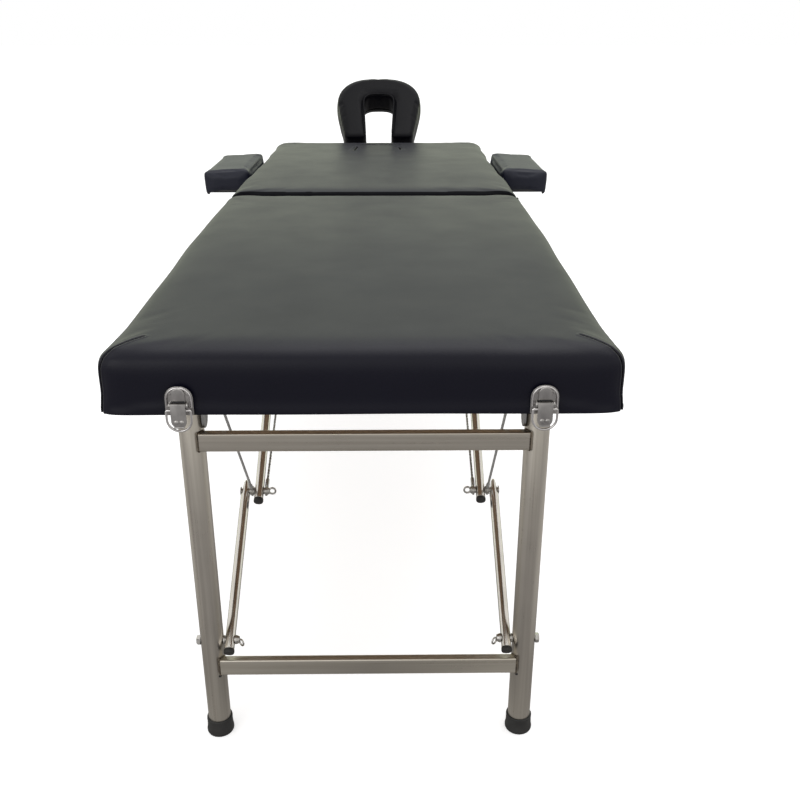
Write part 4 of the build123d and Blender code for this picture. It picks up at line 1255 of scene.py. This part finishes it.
def latch_base(side):
    x, pivot = side * latch_x, latch_pivot_z
    base = block("latch_plate", (33, 2, 36), (x, -(latch_back + 1), pivot + 4))
    round_edges(base, lambda m, a: abs(a.y) > 0.9 and m.z > pivot + 17, 15, 10)
    round_edges(base, lambda m, a: abs(a.y) > 0.9 and m.z < pivot - 8, 2, 4)
    parts = [soften(base, 0.5, 2, 60)]
    boss = block("latch_boss", (16, 3.4, 18), (x, -(latch_front + 1.6), pivot + 11.5))
    round_edges(boss, lambda m, a: abs(a.y) > 0.9 and m.z > pivot + 16, 7.8, 10)
    parts.append(soften(boss, 0.9, 3, 60))
    low, high = pivot - 4, pivot + 20.3
    rim = [
        (x + rim_x, -(latch_front + 0.9), z)
        for rim_x, z in ((-rim_reach, low), (-rim_reach, high), (rim_reach, high), (rim_reach, low))
    ]
    parts.append(give(wire("latch_rim", rim, 13.5, 1.3, rings=10), latch_wire))
    # Painted shade: a thin black strip on the lower edge of the boss, just above the lever's barrel, stands for the
    # shade there.
    gap = block("latch_gap_shade_strip", (15, 1.6, 2.4), (x, -(latch_front + 2.6), pivot + 4.2))
    gap.data.materials.append(black_plastic)
    parts.append(soften(gap, 0.2, 1))
    for way in (-1, 1):
        cheek = block("latch_cheek", (1.6, 7.5, 6), (x + way * 10.2, -(latch_front + 3.75), pivot))
        round_edges(cheek, lambda m, a: abs(a.x) > 0.9 and m.y < -(latch_front + 6), 2.6, 5)
        parts.append(cheek)
        stations = [(0, 2.6), (0.6, 2.3), (1.0, 1.2)]
        place = (x + way * 11.0, -latch_pivot_y, pivot)
        parts.append(turned("latch_rivet", stations, place, (way, 0, 0), sides=20))
        for z in (pivot + 13, pivot - 9.5):
            place = (x + way * 10.6, -latch_front, z)
            parts.append(turned("plate_rivet", [(0, 2.2), (0.5, 2.0), (0.9, 1.0)], place, (0, -1, 0), sides=20))
    parts.append(shank(x - 11, x + 11, -latch_pivot_y, pivot, 1.5))
    for part in parts:
        if not part.data.materials:
            part.data.materials.append(latch_nickel)
    return joined("latch_base", parts)


def latch_lever(side, name):
    x = side * latch_x
    plate_y = -(latch_pivot_y + 2.1)
    lever = block("lever_plate", (18, 1.8, 30), (x, plate_y, latch_pivot_z - 12))
    round_edges(lever, lambda m, a: abs(a.y) > 0.9 and m.z < latch_pivot_z - 20, 8.9, 12)
    parts = [soften(lever, 0.5, 2, 60)]
    parts.append(rod("lever_barrel", 18, 3, 0.3, (x - 9, -latch_pivot_y, latch_pivot_z), (1, 0, 0), sides=28))
    keeper = block("bail_block", (17, 4.4, 5.5), (x, -latch_pivot_y, bail_z))
    parts.append(soften(keeper, 0.8, 2))
    for way in (-1, 1):
        place = (x + way * 3.2, plate_y - 0.8, latch_pivot_z - 19.5)
        stations = [(0, 3.0), (0.5, 2.7), (1.0, 1.6), (1.2, 0.4)]
        parts.append(turned("dimple", stations, place, (0, -1, 0), sides=24))
    parts.append(shank(x - 6, x + 6, plate_y - 0.4, latch_pivot_z - 26, 1.0))
    return give(joined(name, parts), latch_nickel)


def latch_bail(side, name):
    x = side * latch_x
    half, low = rim_reach, bail_z - 26
    corners = [(x - 6, -latch_pivot_y, bail_z), (x - half, -latch_pivot_y, bail_z)]
    for step in range(13):
        turn = pi * step / 12
        corners.append((x - half * cos(turn), -latch_pivot_y, low + half - half * sin(turn)))
    corners += [(x + half, -latch_pivot_y, bail_z), (x + 6, -latch_pivot_y, bail_z)]
    return give(wire(name, corners, 1.4, 1.4, rings=3), latch_wire)


bases = joined("latch_base_pair", [latch_base(-1), latch_base(1)])
fit(bases, "near_half", ("latch_bases",), "latch_nickel")
for name, side in (("left", -1), ("right", 1)):
    fit(latch_lever(side, name + "_lever"), name + "_lever", (name + "_latch_lever",), "latch_nickel")
    fit(latch_bail(side, name + "_wire_bail"), name + "_bail", (name + "_latch_bail",), "latch_nickel")


# %% Catches on the far end
def catch(side):
    x = side * latch_x
    base = block("catch_plate", (30, 2, 26), (x, latch_back + 1, latch_pivot_z - 1))
    round_edges(base, lambda m, a: abs(a.y) > 0.9, 4, 5)
    parts = [soften(base, 0.5, 2, 60)]
    hook = block("catch_hook", (16, 7, 3), (x, latch_front + 3.4, latch_pivot_z - 2.5))
    lip = block("catch_lip", (16, 3, 9.5), (x, latch_front + 5.4, latch_pivot_z + 0.8))
    parts += [soften(hook, 0.6, 2), soften(lip, 1.0, 3)]
    rivet = [(0, 2.4), (0.6, 2.1), (1, 1)]
    for z in (latch_pivot_z - 10, latch_pivot_z + 8):
        for way in (-1, 1):
            parts.append(turned("catch_rivet", rivet, (x + way * 11, latch_front, z), (0, 1, 0), sides=20))
    return joined("catch", parts)


fit(pair("latch_catch_pair", catch, latch_nickel), "far_half", ("latch_catches",), "latch_nickel")

# %% [markdown]
# Plastic sockets in the rails take the rods of the headrest and of the arm pads. A socket shows only its round
# flange with a bevelled mouth, but its bore is there behind it.

# %% Sockets
def socket(place, direction, bore, flange, length):
    """A ring: the flange's outside, then its mouth, and down into the bore."""
    stations = [(-length, bore + 1.7), (0, bore + 1.7), (0, flange), (1.4, flange), (2.0, flange - 0.7),
                (2.0, bore + 1.2), (1.2, bore + 0.1), (-length + 4, bore + 0.1)]
    return turned("socket", stations, place, direction, sides=40)


cradle_rod_x = 90.0


def cradle_socket(side):
    return socket((side * cradle_rod_x, half_length + 0.3, rod_height), (0, 1, 0), 6.0, 12.0, 46)


cradle_sockets = pair("cradle_socket_pair", cradle_socket, black_plastic)
fit(cradle_sockets, "far_half", ("cradle_sockets",), "black_plastic")

arm_rod_places = (349.0, 529.0)
arm_parts = [
    socket((s * 297.3, y, rod_height), (s, 0, 0), 5.0, 11.0, 42) for s in (-1, 1) for y in arm_rod_places
]
arm_sockets = give(joined("arm_socket_set", arm_parts), black_plastic)
fit(arm_sockets, "far_half", ("arm_pad_sockets",), "black_plastic")

# %% [markdown]
# The headrest stands on a bent chromed rod: two legs slide in the sockets, and a cross rod carries the platform's ears
# and a star knob at each end. The horseshoe cushion lies at a tilt on a platform of plywood, finished in black plastic.

# %% Headrest rods and knobs
cross_reach = cradle_rod_x + 24.0
parts = [rod("cross_rod", 2 * cross_reach, 6.0, 0.8, (-cross_reach, cradle_pivot_y, rod_height), (1, 0, 0))]
leg_stations = [(0, 5.0), (1.0, 6.0), (cradle_pivot_y - half_length + 44, 6.0)]
for side in (-1, 1):
    x = side * cradle_rod_x
    parts.append(turned("slide_rod", leg_stations, (x, half_length - 44, rod_height), (0, 1, 0)))
    collar = [(0, 6.8), (1.5, 8.0), (9, 8.0), (11, 6.8)]
    parts.append(turned("rod_collar", collar, (x, cradle_pivot_y - 13, rod_height), (0, 1, 0)))
headrest_rods = give(joined("headrest_rods", parts), rod_chrome)
fit(headrest_rods, "cradle_base", ("cradle_rods",), "rod_steel")


def star_knob(side):
    stations = [(0, 8), (0.5, 10.6), (3, 12.2), (12, 12.2), (15, 10.5), (16, 7)]
    knob = turned("star_knob", stations, (side * 96.8, cradle_pivot_y, rod_height), (side, 0, 0), sides=48)
    middle = spot(0, cradle_pivot_y, rod_height)
    for vertex in knob.data.vertices:
        arm = vertex.co - middle
        turn = atan2(arm.z, arm.y)
        reach = sqrt(arm.y**2 + arm.z**2) / MM
        if reach > 9.5:
            share = 1 + 0.17 * cos(6 * turn)
            vertex.co.y = middle.y + arm.y * share
            vertex.co.z = middle.z + arm.z * share
    knob.data.update()
    return soften(knob, 0.5, 2, 50)


knobs = pair("headrest_knobs", star_knob, black_plastic)
fit(knobs, "cradle_base", ("cradle_knobs",), "black_plastic")

# %% [markdown]
# The horseshoe is modelled lying flat, in the cradle's own plane, and tilted at the end. One square section of an
# arm is extruded along the arm, spun round the face opening and extruded down the other arm. Then it swells as
# cloth.

# %% Horseshoe cushion
def tilted(piece):
    """Tilts a piece that was modelled flat and moves it to the headrest's pivot."""
    return tipped(piece, radians(cradle_tilt), (0, cradle_pivot_y, rod_height))


turn_y = 160.0
arm_steps = 6


def horseshoe(name, low, high, gap, wide, start):
    """An arm's section runs from gap to wide. It goes along +Y from start to the turn and round to the other arm."""
    deselect()
    middle = ((gap + wide) / 2, start, (low + high) / 2)
    bpy.ops.mesh.primitive_plane_add(size=1, location=spot(*middle), rotation=(pi / 2, 0, 0))
    piece = named(name)
    piece.scale = ((wide - gap) * MM, (high - low) * MM, 1)
    settle(piece)
    edit_all(piece)
    step = (turn_y - start) / arm_steps
    for _ in range(arm_steps):
        extrude(0, step, 0)
    bpy.ops.mesh.spin(steps=28, angle=-pi, center=spot(0, turn_y, 0), axis=(0, 0, 1), dupli=False)
    for _ in range(arm_steps):
        extrude(0, -step, 0)
    leave()
    return face_outwards(piece)


def squared(turn, wide, deep, squareness):
    """How far a rounded rectangle's edge is from its middle, in one direction."""
    return ((cos(turn) / wide) ** squareness + (sin(turn) / deep) ** squareness) ** (-1 / squareness)


def shape_horseshoe(piece, gap, wide, far):
    """Narrows the arms towards their ends, and squares the round far end like a rounded rectangle."""
    for vertex in piece.data.vertices:
        place = drawn(vertex.co)
        side = 1 if place.x > 0 else -1
        outer = sqrt(place.x**2 + max(place.y - turn_y, 0) ** 2) > 90
        if place.y > turn_y + 0.5:
            turn = atan2(place.y - turn_y, abs(place.x))
            grown = squared(turn, wide, far - turn_y, 2.5) if outer else squared(turn, gap, gap * 0.94, 3.0)
            vertex.co = spot(side * grown * cos(turn), turn_y + grown * sin(turn), place.z)
        else:
            share = max(0.0, min(1.0, (turn_y + 12 - place.y) / turn_y))
            vertex.co.x -= side * ((25 if outer else 7) * share**1.3) * MM
    piece.data.update()
    return piece


face_low, face_high = 27.0, 93.0
face_gap, face_reach, face_far = 48.0, 134.0, 290.0
board_gap, board_reach, board_far = 51.0, 123.0, 280.0
cushion = horseshoe("horseshoe_cushion", face_low + 0.5, face_high - 3, face_gap, face_reach - 2, 12)
shape_horseshoe(cushion, face_gap, face_reach, face_far)
round_edges(cushion, lambda m, a: abs(a.z) > 0.9 and m.y < 15, 14, 5)
round_edges(cushion, lambda m, a: m.z > face_high - 6 and abs(a.z) < 0.1, 11, 5)
round_edges(cushion, lambda m, a: m.z < face_low + 3 and abs(a.z) < 0.1, 4, 2)
swell(cushion, voxel=4.5, pressure=6, cap=4.0)
apply(cushion, "SUBSURF", levels=1, render_levels=1)
piping_height = face_high - 1.5
piping = [(-40.5, 26, piping_height)]
for step in range(19):
    turn = pi - pi * step / 18
    reach = squared(atan2(sin(turn), abs(cos(turn))), 47.0, 44.5, 3.0)
    piping.append((reach * cos(turn), turn_y + reach * sin(turn), piping_height))
piping.append((40.5, 26, piping_height))
roll = wire("headrest_piping", piping, 2.0, 2.2, rings=3)
cushion = joined("horseshoe_cushion", [cushion, roll])
give(tilted(cushion), headrest_cover)
fit(cushion, "face_cradle", ("face_cushion",), "headrest_cover", 60)


# %% Headrest platform and ears
platform = horseshoe("headrest_platform", 18.3, 26.8, board_gap, board_reach, 16)
shape_horseshoe(platform, board_gap, board_reach, board_far)
soften(platform, 0.8, 2)
give(tilted(platform), black_plastic)
fit(platform, "face_cradle", ("cradle_platform",), "plywood")


def cradle_ear(side):
    x = side * 68
    web = block("cradle_web", (5, 46, 14), (x, 38, 11))
    edit(web)
    pick(web, "FACE", lambda m, n: n.y < -0.9)
    extrude(0, -15, -4)
    pick(web, "VERT", lambda m, n: m.y > 50 and m.z < 10)
    bpy.ops.transform.translate(value=(0, 0, 9 * MM))
    leave()
    boss = rod("cradle_boss", 5, 11, 0.6, (x - 2.5, 0, 0), (1, 0, 0))
    flange = plate(20, 46, x, 38, 18)
    parts = [soften(web, 0.6, 2), boss, flange]
    parts += [screw(x + 6 * way, y, 15) for way in (-1, 1) for y in (24, 52)]
    return joined("cradle_ear", parts)


ears = tilted(pair("headrest_ears", cradle_ear, bracket_zinc))
fit(ears, "face_cradle", ("cradle_ears",), "bracket_steel")

# %% [markdown]
# The arm pads are small boxed cushions with crisp edges, a little full at the side and sagging on their rods. Each
# rests on a board whose cleats hold the two rods, which push into the table's side rail.

# %% Arm pads
pad_start, pad_length, pad_width = 297.0, 284.0, 102.0
pad_x, pad_top, pad_bottom = 303.5, 616.0, 577.0
pad_skirt, pad_crown, pad_fullness, pad_sag = 6.5, 8.0, 6.0, 3.0
cleat_height = 33.7
pad_mid_x, pad_mid_y = pad_x + pad_width / 2, pad_start + pad_length / 2


def arm_cushion(name):
    low, high = pad_bottom - pad_skirt, pad_top + pad_crown
    wide = pad_width + pad_fullness
    piece = block(name, (wide, pad_length - 5, high - low), (pad_x + wide / 2, pad_mid_y, (low + high) / 2))
    round_edges(piece, lambda m, a: abs(a.z) > 0.9, 6, 4)
    round_edges(piece, lambda m, a: m.z > high - 1, 4, 3)
    round_edges(piece, lambda m, a: m.z < low + 1, 3, 2)
    swell(piece, voxel=3.5, pressure=5, cap=2.6)
    edit_all(piece)
    bpy.ops.transform.rotate(value=radians(-pad_sag), orient_axis="Y", center_override=spot(pad_x, pad_mid_y, high))
    leave()
    space = block("board_space", (95, 277, 20), (pad_mid_x, pad_mid_y, pad_bottom - 10.4))
    return give(cut_away(piece, space), arm_cover)


def arm_board(name):
    board = block("arm_plank", (94, 276, 6), (pad_mid_x, pad_mid_y, pad_bottom - 3))
    parts = [soften(board, 0.8, 2)]
    for y in arm_rod_places:
        cleat = block("cleat", (22, 26, cleat_height), (pad_x + 19, y, pad_bottom - 6 - cleat_height / 2))
        parts.append(soften(cleat, 1.5, 2))
    return give(joined(name, parts), black_plastic)


def arm_rods(name):
    rods = [rod("arm_rod", 90.5, 5.0, 0.8, (260, y, rod_height), (1, 0, 0), sides=32) for y in arm_rod_places]
    return give(joined(name, rods), rod_chrome)


right_pieces = (
    (arm_cushion("right_arm_padding"), "arm_cushion", "cover", 60),
    (arm_board("right_arm_plank"), "arm_board", "black_plastic", 35),
    (arm_rods("right_arm_rod_pair"), "arm_rods", "rod_steel", 35),
)
for piece, node, slot, angle in right_pieces:
    twin = mirrored_copy(piece, piece.name.replace("right", "left"), "x")
    for one, name in ((piece, "right"), (twin, "left")):
        fit(one, name + "_arm_pad", (name + "_" + node,), slot, angle)

# %% [markdown]
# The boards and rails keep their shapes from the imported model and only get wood. They are what shows from below.

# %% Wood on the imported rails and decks
for end in ("near", "far"):
    for node, material in (("rails", rail_wood), ("deck", plywood)):
        give(frame["nodes"][f"{end}_{node}"], material)

# %% [markdown]
# The studio is plain: a white floor that also fills the view, soft lamps above and in front, and an even white
# room. The camera stands at the foot end, a little above the table's top, as the photographer did.

# %% Floor
deselect()
bpy.ops.mesh.primitive_plane_add(size=60, location=(0, 0, 0))
floor = named("studio_floor")


def studio_floor_finish():
    """White to the eye, with a faint shadow; in reflections the floor glows in soft grey bands instead, a painted
    reflection.
    """
    finish = Finish("studio_white", (0.82, 0.82, 0.82), 0.9, Specular_IOR_Level=0.0)
    out = [n for n in finish.tree.nodes if n.type == "OUTPUT_MATERIAL"][0]
    rays = finish.add("ShaderNodeLightPath")
    lift = finish.add("ShaderNodeEmission")
    lift.inputs["Strength"].default_value = 0.5
    lifted = finish.add("ShaderNodeAddShader")
    finish.join(finish.shader.outputs[0], lifted.inputs[0])
    finish.join(lift.outputs[0], lifted.inputs[1])
    plain = finish.shader.outputs[0]
    seen = shader_choice(finish.tree, rays.outputs["Is Camera Ray"], plain, lifted.outputs[0])
    across = finish.add("ShaderNodeSeparateXYZ")
    finish.join(finish.place, across.inputs[0])
    aside = finish.math("ABSOLUTE", across.outputs["X"])
    mixed = finish.math("ADD", aside, finish.math("MULTIPLY", finish.noise(2.2, 3), 0.25))
    # Painted reflection: for glossy rays the floor glows in soft grey bands across X, plainer towards the front,
    # instead of showing the lit floor.
    painted_reflection_bands = finish.colors(mixed, [
        (0.12, (0.2, 0.195, 0.19)), (0.34, (0.4, 0.39, 0.37)), (0.52, (0.3, 0.29, 0.28)), (0.85, (0.6, 0.59, 0.57)),
    ])
    front = finish.ranged(across.outputs["Y"], -1.5, -0.9, 1.0, 0.0)
    shown = finish.mixed(painted_reflection_bands, (0.33, 0.32, 0.32), finish.math("MULTIPLY", front, 0.85))
    mirrored = finish.add("ShaderNodeEmission")
    finish.join(shown, mirrored.inputs["Color"])
    last = shader_choice(finish.tree, rays.outputs["Is Glossy Ray"], seen, mirrored.outputs[0])
    finish.join(last, out.inputs["Surface"])
    return finish.material


give(floor, studio_floor_finish())
floor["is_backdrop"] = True

# %% World
scene = bpy.context.scene
scene.view_settings.view_transform = "Standard"
world = bpy.data.worlds.new("studio_room")
scene.world = world
world.use_nodes = True
room = world.node_tree
room.nodes.clear()


def room_part(color=(1, 1, 1), strength=1.0):
    part = room.nodes.new("ShaderNodeBackground")
    part.inputs["Color"].default_value = (*color, 1)
    part.inputs["Strength"].default_value = strength
    return part


direction = room.nodes.new("ShaderNodeTexCoord")
split = room.nodes.new("ShaderNodeSeparateXYZ")
ramp = room.nodes.new("ShaderNodeValToRGB")
room.links.new(direction.outputs["Generated"], split.inputs[0])
room.links.new(split.outputs["Z"], ramp.inputs["Fac"])
stops = [
    (0.0, (0.94, 1.0, 0.76)), (0.14, (0.88, 0.95, 0.72)), (0.22, (0.72, 0.77, 0.6)), (0.36, (0.53, 0.56, 0.52)),
    (0.8, (0.68, 0.68, 0.68)),
]
set_stops(ramp, stops)
far_wall = room_part(strength=1.42)
room.links.new(ramp.outputs["Color"], far_wall.inputs["Color"])
toward_far = room.nodes.new("ShaderNodeMapRange")
toward_far.inputs["From Min"].default_value = 0.3
toward_far.inputs["From Max"].default_value = 0.8
room.links.new(split.outputs["Y"], toward_far.inputs["Value"])
rays = room.nodes.new("ShaderNodeLightPath")
near_wall = room_part((0.83, 0.82, 0.79)).outputs[0]
light = room_part((0.95, 0.95, 0.95)).outputs[0]
mirrored = shader_choice(room, toward_far.outputs["Result"], near_wall, far_wall.outputs[0])
lit = shader_choice(room, rays.outputs["Is Glossy Ray"], light, mirrored)
seen = shader_choice(room, rays.outputs["Is Camera Ray"], lit, room_part().outputs[0])
world_output = room.nodes.new("ShaderNodeOutputWorld")
room.links.new(seen, world_output.inputs["Surface"])


# %% Lamps
def lamp(name, place, target, size, power):
    deselect()
    bpy.ops.object.light_add(type="AREA", location=place)
    light = bpy.context.active_object
    light.name = name
    light.data.shape = "RECTANGLE"
    light.data.size, light.data.size_y = size
    light.data.energy = power
    light.rotation_mode = "QUATERNION"
    light.rotation_quaternion = (Vector(target) - Vector(place)).to_track_quat("-Z", "Y")
    return light


lamp("top_softbox", (0.3, 0.2, 3.2), (0, 0, 0.5), (2.6, 2.6), 28)
lamp("front_softbox", (-1.8, -3.4, 1.9), (0, -0.6, 0.4), (1.6, 1.6), 14)

# %% Camera
camera_aside, camera_back, camera_height = 0.033, 1.896, 0.964
camera_down, camera_turn = 23.08, -0.64
deselect()
bpy.ops.object.camera_add(
    location=(camera_aside, crease - camera_back, camera_height),
    rotation=(radians(90 - camera_down), 0, radians(camera_turn)),
)
camera = bpy.context.active_object
camera.name = "studio_camera"
camera.data.lens = 40.7
camera.data.sensor_width = 36.0
scene.camera = camera

# %% Sizes for the record, and the end
seen_low, seen_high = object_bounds()
for axis, low, high, new_low, new_high in zip("XYZ", cad_low, cad_high, seen_low, seen_high):
    room_left = 0.03 * (high - low) + 0.01
    print(axis, "low by", round(low - new_low, 4), "high by", round(new_high - high, 4), "room", round(room_left, 4))
